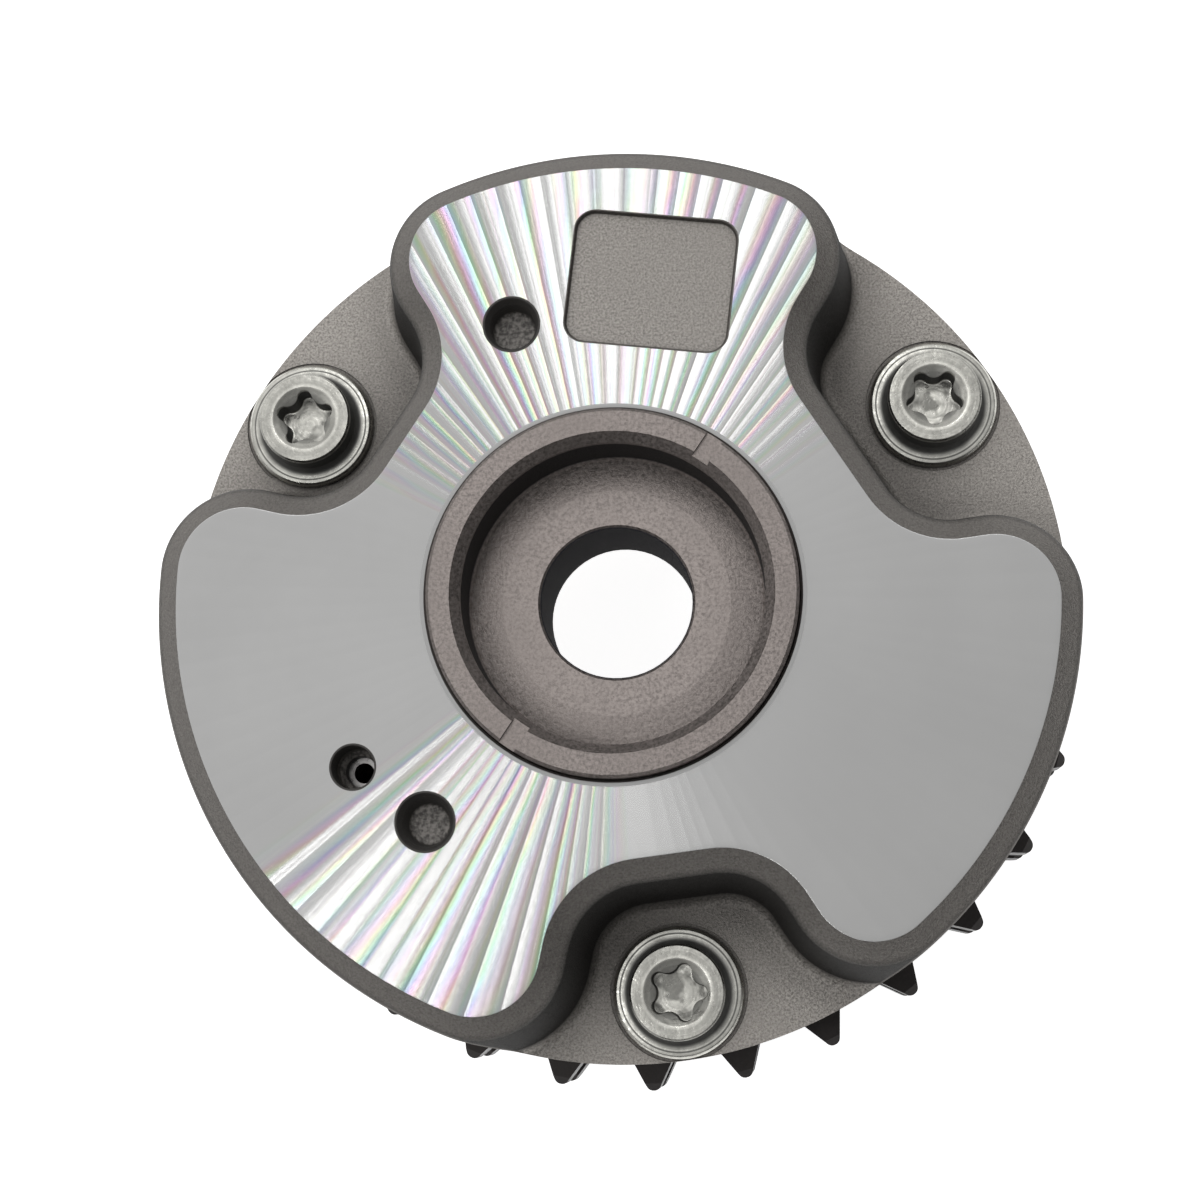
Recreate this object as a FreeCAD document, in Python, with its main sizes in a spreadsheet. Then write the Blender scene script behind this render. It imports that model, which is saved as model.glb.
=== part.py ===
import FreeCAD, Part
import math
import os
import Sketcher
from FreeCAD import Placement, Rotation, Vector

# Vane type camshaft phaser with a two row chain sprocket.
# The origin is on the shaft axis at the rear boss, and +Z points out of the turned front face.
# Lengths are in millimetres and angles in degrees, counted from +X towards +Y.

doc = FreeCAD.newDocument("CamPhaser")
sheet = doc.addObject("Spreadsheet::Sheet", "Sizes")

FULL_TURN = 360

# How far the tool of a cut runs past the surface that it goes through
OVERRUN = 1.0

# Driving dimensions, each with the cell alias, the value and what it measures
DRIVING = [
    ("face_height", "50.5", "turned front face above the rear boss"),
    ("joint_height", "18.5", "joint between housing and sprocket plate"),
    ("body_radius", "44.75", "outside of the housing"),
    ("bevel_width", "2.25", "bevel round the turned face, seen from the front"),
    ("bevel_depth", "1.9", "bevel round the turned face, along the axis"),
    ("front_wall", "6.0", "wall over the chambers"),
    ("outer_wall", "5.55", "wall between chambers and outside"),
    ("chamber_corner", "1.6", "fillet in the outer corners of a chamber, and of a vane"),
    ("edge_break", "0.3", "small broken edges"),
    ("running_gap", "0.07", "radial clearance of the two rotor journals"),
    ("side_gap", "0.05", "axial clearance at each side of the rotor"),
    ("seal_gap", "0.15", "clearance in front of a seal strip"),
    ("tip_gap", "0.35", "clearance of bare vane and web tips"),
    ("fit_gap", "0.05", "clearance of pins, strips and shanks in their holes"),
    ("screw_inset", "6.6", "screw circle inside the housing's outside"),
    ("screw_angle_one", "147.9", "direction of the first screw"),
    ("screw_angle_two", "33.8", "direction of the second screw"),
    ("screw_angle_three", "-81.65", "direction of the third screw"),
    ("recess_depth", "13.75", "recess floor below the turned face"),
    ("recess_reach", "12.7", "inner side of a recess, from the screw"),
    ("recess_turn", "-0.8", "turn of a recess from its screw"),
    ("recess_draft", "1.35", "how far the recess wall leans in above its floor fillet"),
    ("recess_fillet", "1.4", "fillet round the recess floor"),
    ("seat_depth", "0.15", "spot face below the recess floor"),
    ("seat_radius", "6.85", "spot face under a screw flange"),
    ("wide_flat", "5.8", "half of the straight inner side, towards a wide side"),
    ("wide_hollow", "9.4", "hollow corner on a wide side"),
    ("wide_nose", "6.05", "lobe corner on a wide side"),
    ("wide_turn", "34.45", "angle from the screw to the lobe corner, wide side"),
    ("tight_flat", "1.4", "half of the straight inner side, towards a tight side"),
    ("tight_hollow", "10.0", "hollow corner on a tight side"),
    ("tight_nose", "6.3", "lobe corner on a tight side"),
    ("tight_turn", "28.7", "angle from the screw to the lobe corner, tight side"),
    ("wide_web", "30.0", "angle from the screw to a chamber, wide side"),
    ("tight_web", "28.2", "angle from the screw to a chamber, tight side"),
    ("web_tip_radius", "21.35", "inner ends of the webs between chambers"),
    ("stroke", "30.0", "turn of the rotor between its stops"),
    ("advance", "6.0", "turn of the rotor from its lock when drawn"),
    ("stop_gap", "0.3", "angle left between vane and web at a stop"),
    ("hub_radius", "21.0", "rotor hub"),
    ("nose_radius", "17.9", "rotor nose in the front bore, and rear journal"),
    ("nose_height", "1.2", "nose above the turned face"),
    ("nose_face", "15.6", "inner edge of the flat ring on the nose"),
    ("nose_slope", "0.95", "depth of the slope inside that ring"),
    ("pocket_radius", "14.65", "pocket for the central bolt head"),
    ("pocket_depth", "5.75", "bolt seat below the turned face"),
    ("bolt_seat", "11.2", "radius of the raised flat bolt seat"),
    ("seat_slope", "0.3", "drop of the pocket floor outside the bolt seat"),
    ("mark_width", "1.75", "witness slot across the nose"),
    ("mark_depth", "0.4", "depth of the witness slot"),
    ("mark_angle", "56.0", "direction of the witness slot"),
    ("bore_radius", "7.45", "bore for the central bolt"),
    ("bore_length", "11.55", "length of that bore"),
    ("socket_radius", "14.25", "socket for the camshaft nose"),
    ("journal_end", "3.0", "rear end of the rotor journal above the boss"),
    ("timing_hole", "2.5", "radius of the hole for the camshaft's timing pin"),
    ("timing_circle", "10.8", "its distance from the axis"),
    ("timing_depth", "6.0", "its depth"),
    ("oil_radius", "1.5", "radius of an oil drilling"),
    ("oil_level_low", "22.5", "height of the drillings on the clockwise sides"),
    ("oil_level_high", "29.0", "height of the drillings on the other sides"),
    ("vane_fillet", "1.2", "fillet where a vane joins the hub"),
    ("web_relief", "0.4", "how much more the corner of a web is rounded than that fillet"),
    ("slot_width", "2.0", "seal slot"),
    ("slot_depth", "3.6", "depth of a seal slot"),
    ("strip_thickness", "1.9", "seal strip"),
    ("strip_height", "2.9", "radial height of a seal strip"),
    ("spring_strip", "0.25", "thickness of a seal spring"),
    ("pin_shift", "0.085", "axis of the lock pin inside the middle of its vane"),
    ("pin_angle", "213.7", "direction of the lock pin when drawn"),
    ("pin_radius", "4.0", "lock pin"),
    ("pin_nose", "3.6", "nose of the lock pin"),
    ("pin_step", "2.8", "length of that nose"),
    ("pin_length", "15.0", "whole lock pin"),
    ("pin_hollow", "2.7", "bore of the lock pin, where its spring sits"),
    ("pin_floor", "4.5", "solid end of the lock pin"),
    ("pin_travel", "2.4", "how far the pin draws back into the vane"),
    ("cap_radius", "5.0", "spring cap"),
    ("cap_thickness", "1.4", "thickness of the spring cap"),
    ("cap_vent", "1.0", "radius of the vent in the cap"),
    ("coil_wire", "0.8", "wire of the lock spring"),
    ("coil_radius", "2.05", "mean radius of the lock spring"),
    ("coil_turns", "5.0", "turns of the lock spring"),
    ("bush_radius", "5.6", "outside of the lock bush"),
    ("bush_depth", "5.0", "length of the lock bush"),
    ("dowel_radius", "2.0", "dowel between housing and plate"),
    ("dowel_depth", "5.0", "how far it reaches into each side"),
    ("shank_radius", "2.95", "screw shank"),
    ("shank_end", "0.6", "screw end above the groove between the tooth rows"),
    ("clear_radius", "3.3", "screw hole in the housing"),
    ("flange_radius", "6.47", "screw flange"),
    ("flange_height", "1.0", "height of the screw flange"),
    ("head_radius", "4.69", "screw head"),
    ("head_height", "4.15", "screw head above its seat"),
    ("head_round", "0.2", "rounded rim of the screw head"),
    ("lobe_reach", "2.95", "socket centre to the end of a lobe"),
    ("lobe_valley", "2.05", "socket centre to a valley"),
    ("lobe_round", "0.75", "radius at the end of a lobe"),
    ("lobe_depth", "2.5", "depth of the five lobed socket"),
    ("socket_turn_one", "16.0", "turn of the first screw"),
    ("socket_turn_two", "20.0", "turn of the second screw"),
    ("socket_turn_three", "26.0", "turn of the third screw"),
    ("tooth_count", "30", "teeth in each row"),
    ("chain_pitch", "9.525", "pitch of the chain"),
    ("bush_size", "5.08", "diameter of the chain's bushes"),
    ("tooth_top", "2.5", "tooth tips outside the pitch circle"),
    ("tip_share", "0.9", "rounding of a tooth tip, as a share of a fully round one"),
    ("flank_lean", "33.0", "lean of a tooth flank from the middle of its gap"),
    ("tooth_turn", "2.1", "direction of the first tooth gap"),
    ("tooth_width", "4.4", "width of one row of teeth"),
    ("row_pitch", "10.13", "distance between the two rows"),
    ("row_height", "1.5", "rear side of the rear row above the boss"),
    ("tooth_bevel", "0.8", "bevel on both sides of the teeth"),
    ("core_reach", "1.35", "plate between the rows, outside the screw circle"),
    ("rim_step", "0.75", "plate rim inside the housing's outside"),
    ("boss_radius", "26.0", "rear boss of the plate"),
    ("relief_inner", "28.5", "inner side of the rear relief"),
    ("relief_outer", "37.0", "outer side of the rear relief"),
    ("relief_depth", "3.0", "depth of the rear relief"),
    ("pad_length", "16.0", "sunk marking pad, longer side"),
    ("pad_width", "13.3", "sunk marking pad, shorter side"),
    ("pad_corner", "2.0", "corners of the pad"),
    ("pad_depth", "0.5", "depth of the pad"),
    ("pad_inset", "13.65", "middle of the pad inside the housing's outside"),
    ("pad_angle", "82.9", "direction of the pad"),
    ("pad_turn", "-6.5", "turn of the pad"),
    ("pin_hole_inset", "16.2", "upper blind hole inside the housing's outside"),
    ("pin_hole_angle", "110.2", "its direction"),
    ("pin_hole_radius", "2.65", "its radius"),
    ("peg_hole_inset", "16.59", "lower blind hole inside the housing's outside"),
    ("peg_hole_angle", "230.8", "its direction"),
    ("peg_hole_radius", "2.75", "its radius"),
    ("blind_depth", "3.3", "depth of both blind holes"),
    ("blind_draft", "0.45", "taper of both blind holes"),
    ("vent_radius", "2.08", "vent hole over the lock pin"),
    ("vent_depth", "4.2", "depth of its wide part"),
    ("vent_throat", "1.5", "radius of its narrow part"),
]


class Size:
    """A number together with the sheet expression that it comes from."""

    def __init__(self, value, text):
        self.value = value
        self.text = text

    def __add__(self, other):
        other = as_size(other)
        return Size(self.value + other.value, "(%s + %s)" % (self.text, other.text))

    def __radd__(self, other):
        return as_size(other) + self

    def __sub__(self, other):
        other = as_size(other)
        return Size(self.value - other.value, "(%s - %s)" % (self.text, other.text))

    def __rsub__(self, other):
        return as_size(other) - self

    def __mul__(self, other):
        other = as_size(other)
        return Size(self.value * other.value, "(%s * %s)" % (self.text, other.text))

    def __rmul__(self, other):
        return as_size(other) * self

    def __truediv__(self, other):
        other = as_size(other)
        return Size(self.value / other.value, "(%s / %s)" % (self.text, other.text))

    def __rtruediv__(self, other):
        return as_size(other) / self

    def __neg__(self):
        return as_size(0) - self


class Sheet:
    """Every cell of the sheet as a Size, under its alias."""


def as_size(item):
    """Give a plain number the same form as a size from the sheet."""
    if isinstance(item, Size):
        return item
    return Size(float(item), "(%r)" % float(item))


def sine(angle):
    angle = as_size(angle)
    return Size(math.sin(math.radians(angle.value)), "sin(%s)" % angle.text)


def cosine(angle):
    angle = as_size(angle)
    return Size(math.cos(math.radians(angle.value)), "cos(%s)" % angle.text)


def root(size):
    return Size(math.sqrt(size.value), "sqrt(%s)" % size.text)


def fill_sheet():
    """Write the driving dimensions into the sheet and read them back as sizes."""
    sizes = Sheet()
    for row, (alias, number, meaning) in enumerate(DRIVING, start=1):
        sheet.set("A%d" % row, meaning)
        sheet.set("B%d" % row, number)
        sheet.setAlias("B%d" % row, alias)
    doc.recompute()
    for alias, number, meaning in DRIVING:
        setattr(sizes, alias, Size(float(getattr(sheet, alias)), "Sizes." + alias))
    return sizes


def derived(alias, size):
    """Keep a size that follows from others in a cell of its own, as a formula."""
    row = len(DRIVING) + 1 + len(derived_cells)
    derived_cells.append(alias)
    sheet.set("A%d" % row, alias.replace("_", " "))
    sheet.set("B%d" % row, "=" + size.text.replace("Sizes.", ""))
    sheet.setAlias("B%d" % row, alias)
    return Size(size.value, "Sizes." + alias)


derived_cells = []
S = fill_sheet()

# Heights and places that follow from the driving dimensions
ceiling = derived("ceiling", S.face_height - S.front_wall)
floor_height = derived("floor_height", S.face_height - S.recess_depth)
seat_height = derived("seat_height", floor_height - S.seat_depth)
rotor_front = derived("rotor_front", ceiling - S.side_gap)
rotor_rear = derived("rotor_rear", S.joint_height + S.side_gap)
nose_top = derived("nose_top", S.face_height + S.nose_height)
bolt_seat_height = derived("bolt_seat_height", S.face_height - S.pocket_depth)
cam_seat_height = derived("cam_seat_height", bolt_seat_height - S.bore_length)
chamber_radius = derived("chamber_radius", S.body_radius - S.outer_wall)
land_radius = derived("land_radius", S.body_radius - S.bevel_width)
journal_bore = derived("journal_bore", S.nose_radius + S.running_gap)
vane_tip = derived("vane_tip", chamber_radius - S.tip_gap)
front_row = derived("front_row", S.row_height + S.row_pitch)
pitch_radius = derived("pitch_radius", S.chain_pitch / (2 * sine(180 / S.tooth_count)))
plate_rim = derived("plate_rim", S.body_radius - S.rim_step)
screw_circle = derived("screw_circle", S.body_radius - S.screw_inset)
recess_bottom = derived("recess_bottom", screw_circle - S.recess_reach)
pin_circle = derived("pin_circle", (S.hub_radius + vane_tip) / 2 - S.pin_shift)
web_slot_end = derived("web_slot_end", S.web_tip_radius + S.slot_depth)
dowel_circle = derived("dowel_circle", (web_slot_end + screw_circle - S.clear_radius) / 2)
tip_radius = derived("tip_radius", pitch_radius + S.tooth_top)
core_radius = derived("core_radius", screw_circle + S.core_reach)
pad_circle = derived("pad_circle", S.body_radius - S.pad_inset)
pin_hole_circle = derived("pin_hole_circle", S.body_radius - S.pin_hole_inset)
peg_hole_circle = derived("peg_hole_circle", S.body_radius - S.peg_hole_inset)
pin_seat_turn = derived("pin_seat_turn", S.pin_angle - S.advance)
pin_x = derived("pin_x", pin_circle * cosine(S.pin_angle))
pin_y = derived("pin_y", pin_circle * sine(S.pin_angle))
cap_low = derived("cap_low", rotor_front - S.edge_break - S.cap_thickness)
screw_angles = [S.screw_angle_one, S.screw_angle_two, S.screw_angle_three]
socket_turns = [S.socket_turn_one, S.socket_turn_two, S.socket_turn_three]

# Each chamber runs from one web to the next, counted anticlockwise
WIDE = (S.wide_flat, S.wide_hollow, S.wide_nose, S.wide_turn, S.wide_web)
TIGHT = (S.tight_flat, S.tight_hollow, S.tight_nose, S.tight_turn, S.tight_web)
recess_sides = [(WIDE, TIGHT), (WIDE, WIDE), (TIGHT, WIDE)]
chamber_starts = [S.screw_angle_two + S.wide_web,
                  S.screw_angle_one + S.tight_web,
                  S.screw_angle_three + S.wide_web]
chamber_ends = [S.screw_angle_one - S.wide_web,
                S.screw_angle_three + FULL_TURN - S.tight_web,
                S.screw_angle_two - S.wide_web]
vane_starts, vane_spans = [], []
for number, (start, end) in enumerate(zip(chamber_starts, chamber_ends), start=1):
    vane_starts.append(derived("vane_start_%s" % "abc"[number - 1],
                               start + S.advance + S.stop_gap))
    vane_spans.append(derived("vane_span_%s" % "abc"[number - 1],
                              end - start - S.stroke - 2 * S.stop_gap))


def bind(item, path, size):
    """Tie one property of an object to the sheet."""
    item.setExpression(path, as_size(size).text)


def place(item, x=0, y=0, z=0, turn=0):
    """Put an object at a place and turn it about +Z, all tied to the sheet."""
    x, y, z, turn = as_size(x), as_size(y), as_size(z), as_size(turn)
    spot = Vector(x.value, y.value, z.value)
    item.Placement = Placement(spot, Rotation(Vector(0, 0, 1), turn.value))
    for path, size in (("Base.x", x), ("Base.y", y), ("Base.z", z), ("Rotation.Angle", turn)):
        if size.value != 0:
            bind(item, "Placement." + path, size)


def cylinder(name, radius, bottom, top, x=0, y=0, turn=0, span=None):
    """A cylinder between two heights, or a sector of one where a span is given."""
    item = doc.addObject("Part::Cylinder", name)
    bind(item, "Radius", radius)
    bind(item, "Height", as_size(top) - bottom)
    if span is not None:
        bind(item, "Angle", span)
    place(item, x, y, bottom, turn)
    return item


def cone(name, low_radius, high_radius, bottom, top, x=0, y=0):
    """A cone between two heights."""
    item = doc.addObject("Part::Cone", name)
    bind(item, "Radius1", low_radius)
    bind(item, "Radius2", high_radius)
    bind(item, "Height", as_size(top) - bottom)
    place(item, x, y, bottom)
    return item


def polar_box(name, inner, outer, width, bottom, top, turn):
    """A box that points along one direction from the axis, centred on its width."""
    turn = as_size(turn)
    width = as_size(width)
    inner = as_size(inner)
    item = doc.addObject("Part::Box", name)
    bind(item, "Length", as_size(outer) - inner)
    bind(item, "Width", width)
    bind(item, "Height", as_size(top) - bottom)
    x = inner * cosine(turn) + width / 2 * sine(turn)
    y = inner * sine(turn) - width / 2 * cosine(turn)
    place(item, x, y, bottom, turn)
    return item


def radial_drilling(name, radius, inner, outer, level, turn):
    """A cylinder that lies along one direction from the axis."""
    turn = as_size(turn)
    item = doc.addObject("Part::Cylinder", name)
    bind(item, "Radius", radius)
    bind(item, "Height", as_size(outer) - inner)
    x, y = inner * cosine(turn), inner * sine(turn)
    lean = Rotation(Vector(0, 0, 1), turn.value).multiply(Rotation(Vector(0, 1, 0), 90))
    item.Placement = Placement(Vector(x.value, y.value, level.value), lean)
    for path, size in (("Base.x", x), ("Base.y", y), ("Base.z", level)):
        bind(item, "Placement." + path, size)
    return item


def fuse(name, parts):
    item = doc.addObject("Part::MultiFuse", name)
    item.Shapes = parts
    item.Refine = True
    return item


def cut(name, base, tools):
    """Take the tools away from the base in one cut."""
    item = doc.addObject("Part::Cut", name)
    item.Base = base
    item.Tool = tools[0] if len(tools) == 1 else fuse(name + "_tools", tools)
    item.Refine = True
    return item


def new_body(name):
    return doc.addObject("PartDesign::Body", name)


def new_sketch(body, name, role, lift=None, turn=None):
    """A sketch on one of the body's own origin planes, raised and turned by sizes."""
    plane = [item for item in body.Origin.OriginFeatures if item.Role == role][0]
    sketch = body.newObject("Sketcher::SketchObject", name)
    sketch.AttachmentSupport = [(plane, "")]
    sketch.MapMode = "FlatFace"
    lift, turn = as_size(lift or 0), as_size(turn or 0)
    spin = Rotation(Vector(0, 0, 1), turn.value)
    sketch.AttachmentOffset = Placement(Vector(0, 0, lift.value), spin)
    if lift.value != 0:
        bind(sketch, "AttachmentOffset.Base.z", lift)
    if turn.value != 0:
        bind(sketch, "AttachmentOffset.Rotation.Angle", turn)
    return sketch


def pin_point(sketch, edge, end, x, y):
    """Hold one point of a sketch at a place that is tied to the sheet."""
    for kind, size in (("DistanceX", as_size(x)), ("DistanceY", as_size(y))):
        rule = Sketcher.Constraint(kind, -1, 1, edge, end, size.value)
        index = sketch.addConstraint(rule)
        bind(sketch, "Constraints[%d]" % index, size)


def draw_outline(sketch, corners, arcs=None):
    """Draw a closed outline through corner points; arcs gives centre and radius by edge."""
    arcs = arcs or {}
    points = [Vector(as_size(x).value, as_size(y).value, 0) for x, y in corners]
    count = len(points)
    ends = []
    for index, start in enumerate(points):
        finish = points[(index + 1) % count]
        ends.append((1, 2))
        if index not in arcs:
            sketch.addGeometry(Part.LineSegment(start, finish), False)
            continue
        centre_x, centre_y, radius = [as_size(item).value for item in arcs[index]]
        centre = Vector(centre_x, centre_y, 0)
        middle = centre + ((start + finish) * 0.5 - centre).normalize() * radius
        if (start - centre).cross(finish - centre).z < 0:
            start, finish = finish, start
            ends[index] = (2, 1)
        sketch.addGeometry(Part.Arc(start, middle, finish), False)
    for index in range(count):
        after = (index + 1) % count
        sketch.addConstraint(Sketcher.Constraint("Coincident", index, ends[index][1],
                                                 after, ends[after][0]))
    for index, (x, y) in enumerate(corners):
        pin_point(sketch, index, ends[index][0], x, y)
    for index, (centre_x, centre_y, radius) in arcs.items():
        rule = Sketcher.Constraint("Radius", index, as_size(radius).value)
        bind(sketch, "Constraints[%d]" % sketch.addConstraint(rule), radius)
    return sketch


def turned(body, name, corners):
    """Revolve a section, given as radius and height, about the shaft axis."""
    sketch = draw_outline(new_sketch(body, name + "_section", "XZ_Plane"), corners)
    feature = body.newObject("PartDesign::Revolution", name)
    feature.Profile = sketch
    feature.ReferenceAxis = (sketch, ["V_Axis"])
    feature.Angle = FULL_TURN
    return feature


def pocket_up(body, name, sketch, length):
    """Cut upwards from a sketch by a length."""
    feature = body.newObject("PartDesign::Pocket", name)
    feature.Profile = sketch
    feature.Type = "Length"
    bind(feature, "Length", length)
    feature.Reversed = True
    return feature


def pocket_down(body, name, sketch, length):
    """Cut downwards from a sketch by a length."""
    feature = body.newObject("PartDesign::Pocket", name)
    feature.Profile = sketch
    feature.Type = "Length"
    bind(feature, "Length", length)
    return feature


def name_part(item, label):
    """Give a finished sub-part the name of its file."""
    item.Label = label
    return item


# Housing

def recess_outline(sides, inset, height, screw_angle):
    """Wire of a screw recess at one height, moved into the recess by the inset.

    Each side is a straight stretch, a hollow arc, a tangent line and the lobe's corner arc,
    whose centre lies on a ray from the shaft axis.
    """
    reach = 2 * S.body_radius.value
    bottom = recess_bottom.value + inset
    halves = []
    for side in sides:
        flat, hollow, nose, turn, web = [item.value for item in side]
        hollow_centre = Vector(recess_bottom.value + hollow, flat, height)
        out = Vector(math.cos(math.radians(turn)), math.sin(math.radians(turn)), 0)
        nose_centre = out * (land_radius.value - nose) + Vector(0, 0, height)
        hollow_radius, nose_radius = hollow - inset, nose + inset
        link = nose_centre - hollow_centre
        swing = math.asin(min(1.0, (hollow_radius + nose_radius) / link.Length))
        along = math.atan2(link.y, link.x) - swing
        normal = Vector(-math.sin(along), math.cos(along), 0)
        start = Vector(bottom, flat, height)
        leave = hollow_centre + normal * hollow_radius
        enter = nose_centre - normal * nose_radius
        crest = nose_centre + out * nose_radius
        bend = (Vector(-1, 0, 0) + normal).normalize()
        swell = (out - normal).normalize()
        halves.append([
            Part.Arc(start, hollow_centre + bend * hollow_radius, leave).toShape(),
            Part.LineSegment(leave, enter).toShape(),
            Part.Arc(enter, nose_centre + swell * nose_radius, crest).toShape(),
            Part.LineSegment(crest, out * reach + Vector(0, 0, height)).toShape(),
        ])
    mirrored = [edge.mirror(Vector(0, 0, 0), Vector(0, 1, 0)) for edge in halves[0]]
    low_end = Vector(bottom, -sides[0][0].value, height)
    high_end = Vector(bottom, sides[1][0].value, height)
    base = Part.LineSegment(low_end, high_end).toShape()
    low_far = Rotation(Vector(0, 0, 1), -sides[0][3].value).multVec(Vector(reach, 0, 0))
    high_far = Rotation(Vector(0, 0, 1), sides[1][3].value).multVec(Vector(reach, 0, 0))
    lift = Vector(0, 0, height)
    rim = Part.Arc(low_far + lift, Vector(reach, 0, height), high_far + lift).toShape()
    wire = Part.Wire(Part.__sortEdges__(mirrored[::-1] + [base] + halves[1] + [rim]))
    wire.rotate(Vector(0, 0, 0), Vector(0, 0, 1), (screw_angle + S.recess_turn).value)
    return wire


def recess_cutter(index):
    """The body that leaves a screw recess: fillet, leaning wall and bevel are one loft."""
    fillet = S.recess_fillet.value
    bevel = S.bevel_width.value
    floor = floor_height.value
    wall_foot = floor + fillet
    wall_head = S.face_height.value - S.bevel_depth.value
    foot_inset = bevel + S.recess_draft.value
    levels = []
    for step in (0, 1, 2):
        angle = math.radians(30 * step)
        levels.append((foot_inset + fillet * (1 - math.sin(angle)),
                       floor + fillet * (1 - math.cos(angle))))
    levels.append((foot_inset, wall_foot))
    levels.append((bevel, wall_head))
    slope = bevel / S.bevel_depth.value
    levels.append((-slope * OVERRUN, S.face_height.value + OVERRUN))
    wires = [recess_outline(recess_sides[index], inset, height, screw_angles[index])
             for inset, height in levels]
    item = doc.addObject("Part::Feature", "recess_cutter_%d" % (index + 1))
    item.Shape = Part.makeLoft(wires, True, True)
    return item


def rounded_chambers():
    """Space for the rotor: the hub bore and three chambers with filleted outer corners."""
    hub = cylinder("hub_space", S.web_tip_radius, S.joint_height - OVERRUN, ceiling)
    rooms = []
    for index in range(3):
        start, end = chamber_starts[index], chamber_ends[index]
        room = cylinder("chamber_%d" % (index + 1), chamber_radius, S.joint_height - OVERRUN, ceiling,
                        turn=start, span=end - start)
        rooms.append(round_upright("chamber_round_%d" % (index + 1), room, chamber_radius,
                                   [start.value, end.value], S.chamber_corner))
    space = fuse("rotor_space", [hub] + rooms)
    corners = [item.value for item in chamber_starts + chamber_ends]
    return round_upright("rotor_space_round", space, S.web_tip_radius, corners,
                         S.vane_fillet + S.web_relief)


def round_upright(name, base, radius, directions, round_radius):
    """Round the upright edges at one distance from the axis, in some directions from it."""
    doc.recompute()
    item = doc.addObject("Part::Fillet", name)
    item.Base = base
    size = as_size(round_radius).value
    item.Edges = [(number + 1, size, size)
                  for number, edge in enumerate(base.Shape.Edges)
                  if stands_at(edge, as_size(radius).value)
                  and faces_one_of(edge, directions)]
    return item


def stands_at(edge, radius):
    """Whether an edge stands upright at a distance from the shaft axis."""
    low, high = edge.Vertexes[0].Point, edge.Vertexes[-1].Point
    upright = abs(low.x - high.x) + abs(low.y - high.y) < 1e-6 and abs(low.z - high.z) > 1e-6
    return upright and abs(math.hypot(low.x, low.y) - radius) < 0.01


def faces_one_of(edge, directions):
    """Whether an upright edge lies in one of some directions from the axis."""
    spot = edge.Vertexes[0].Point
    here = math.degrees(math.atan2(spot.y, spot.x))
    return any(abs((here - way + FULL_TURN / 2) % FULL_TURN - FULL_TURN / 2) < 0.1 for way in directions)


def make_housing():
    blank = new_body("housing_blank")
    turned(blank, "housing_turned", [
        (journal_bore, S.joint_height),
        (S.body_radius, S.joint_height),
        (S.body_radius, S.face_height - S.bevel_depth),
        (land_radius, S.face_height),
        (journal_bore + S.edge_break, S.face_height),
        (journal_bore, S.face_height - S.edge_break),
    ])
    pad = new_sketch(blank, "pad_outline", "XY_Plane", lift=S.face_height)
    draw_pad(pad)
    pocket_down(blank, "marking_pad", pad, S.pad_depth)
    tools = [rounded_chambers()]
    for index in range(3):
        tools.append(recess_cutter(index))
        turn = screw_angles[index]
        x, y = screw_circle * cosine(turn), screw_circle * sine(turn)
        tools.append(cylinder("screw_hole_%d" % (index + 1), S.clear_radius,
                              S.joint_height - OVERRUN, floor_height + OVERRUN, x, y))
        tools.append(cylinder("spot_face_%d" % (index + 1), S.seat_radius,
                              seat_height, floor_height + OVERRUN, x, y))
        tools.append(polar_box("web_slot_%d" % (index + 1), S.web_tip_radius - OVERRUN,
                               web_slot_end, S.slot_width,
                               S.joint_height - OVERRUN, ceiling, turn))
    for name, circle, angle, radius in (
            ("upper_hole", pin_hole_circle, S.pin_hole_angle, S.pin_hole_radius),
            ("lower_hole", peg_hole_circle, S.peg_hole_angle, S.peg_hole_radius)):
        tools.append(cone(name, radius - S.blind_draft, radius,
                          S.face_height - S.blind_depth, S.face_height,
                          circle * cosine(angle), circle * sine(angle)))
    tools.append(cylinder("vent_mouth", S.vent_radius, S.face_height - S.vent_depth,
                          S.face_height + OVERRUN, pin_x, pin_y))
    tools.append(cylinder("vent_throat", S.vent_throat, ceiling - OVERRUN, S.face_height,
                          pin_x, pin_y))
    tools.append(dowel_hole("housing_dowel_hole", S.fit_gap, S.joint_height - OVERRUN,
                            S.joint_height + S.dowel_depth + S.edge_break))
    return name_part(cut("housing_cut", blank, tools), "housing")


def draw_pad(sketch):
    """Rounded rectangle of the marking pad, about its own centre and turned."""
    half_length = S.pad_length / 2
    half_width = S.pad_width / 2
    centre = (pad_circle * cosine(S.pad_angle), pad_circle * sine(S.pad_angle))

    def spot(along, across):
        x = centre[0] + along * cosine(S.pad_turn) - across * sine(S.pad_turn)
        y = centre[1] + along * sine(S.pad_turn) + across * cosine(S.pad_turn)
        return x, y

    corners, arcs = [], {}
    inner_length, inner_width = half_length - S.pad_corner, half_width - S.pad_corner
    for side_x, side_y in ((1, -1), (1, 1), (-1, 1), (-1, -1)):
        before = spot(inner_length * side_x, half_width * side_y)
        after = spot(half_length * side_x, inner_width * side_y)
        pair = [before, after] if side_x * side_y < 0 else [after, before]
        arcs[len(corners)] = spot(inner_length * side_x, inner_width * side_y) + (
            S.pad_corner,)
        corners.extend(pair)
    draw_outline(sketch, corners, arcs)


def dowel_hole(name, gap, bottom, top):
    """Hole for the dowel that lines up plate and housing."""
    turn = S.screw_angle_three
    return cylinder(name, S.dowel_radius + gap, bottom, top,
                    dowel_circle * cosine(turn), dowel_circle * sine(turn))


# Sprocket plate

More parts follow.
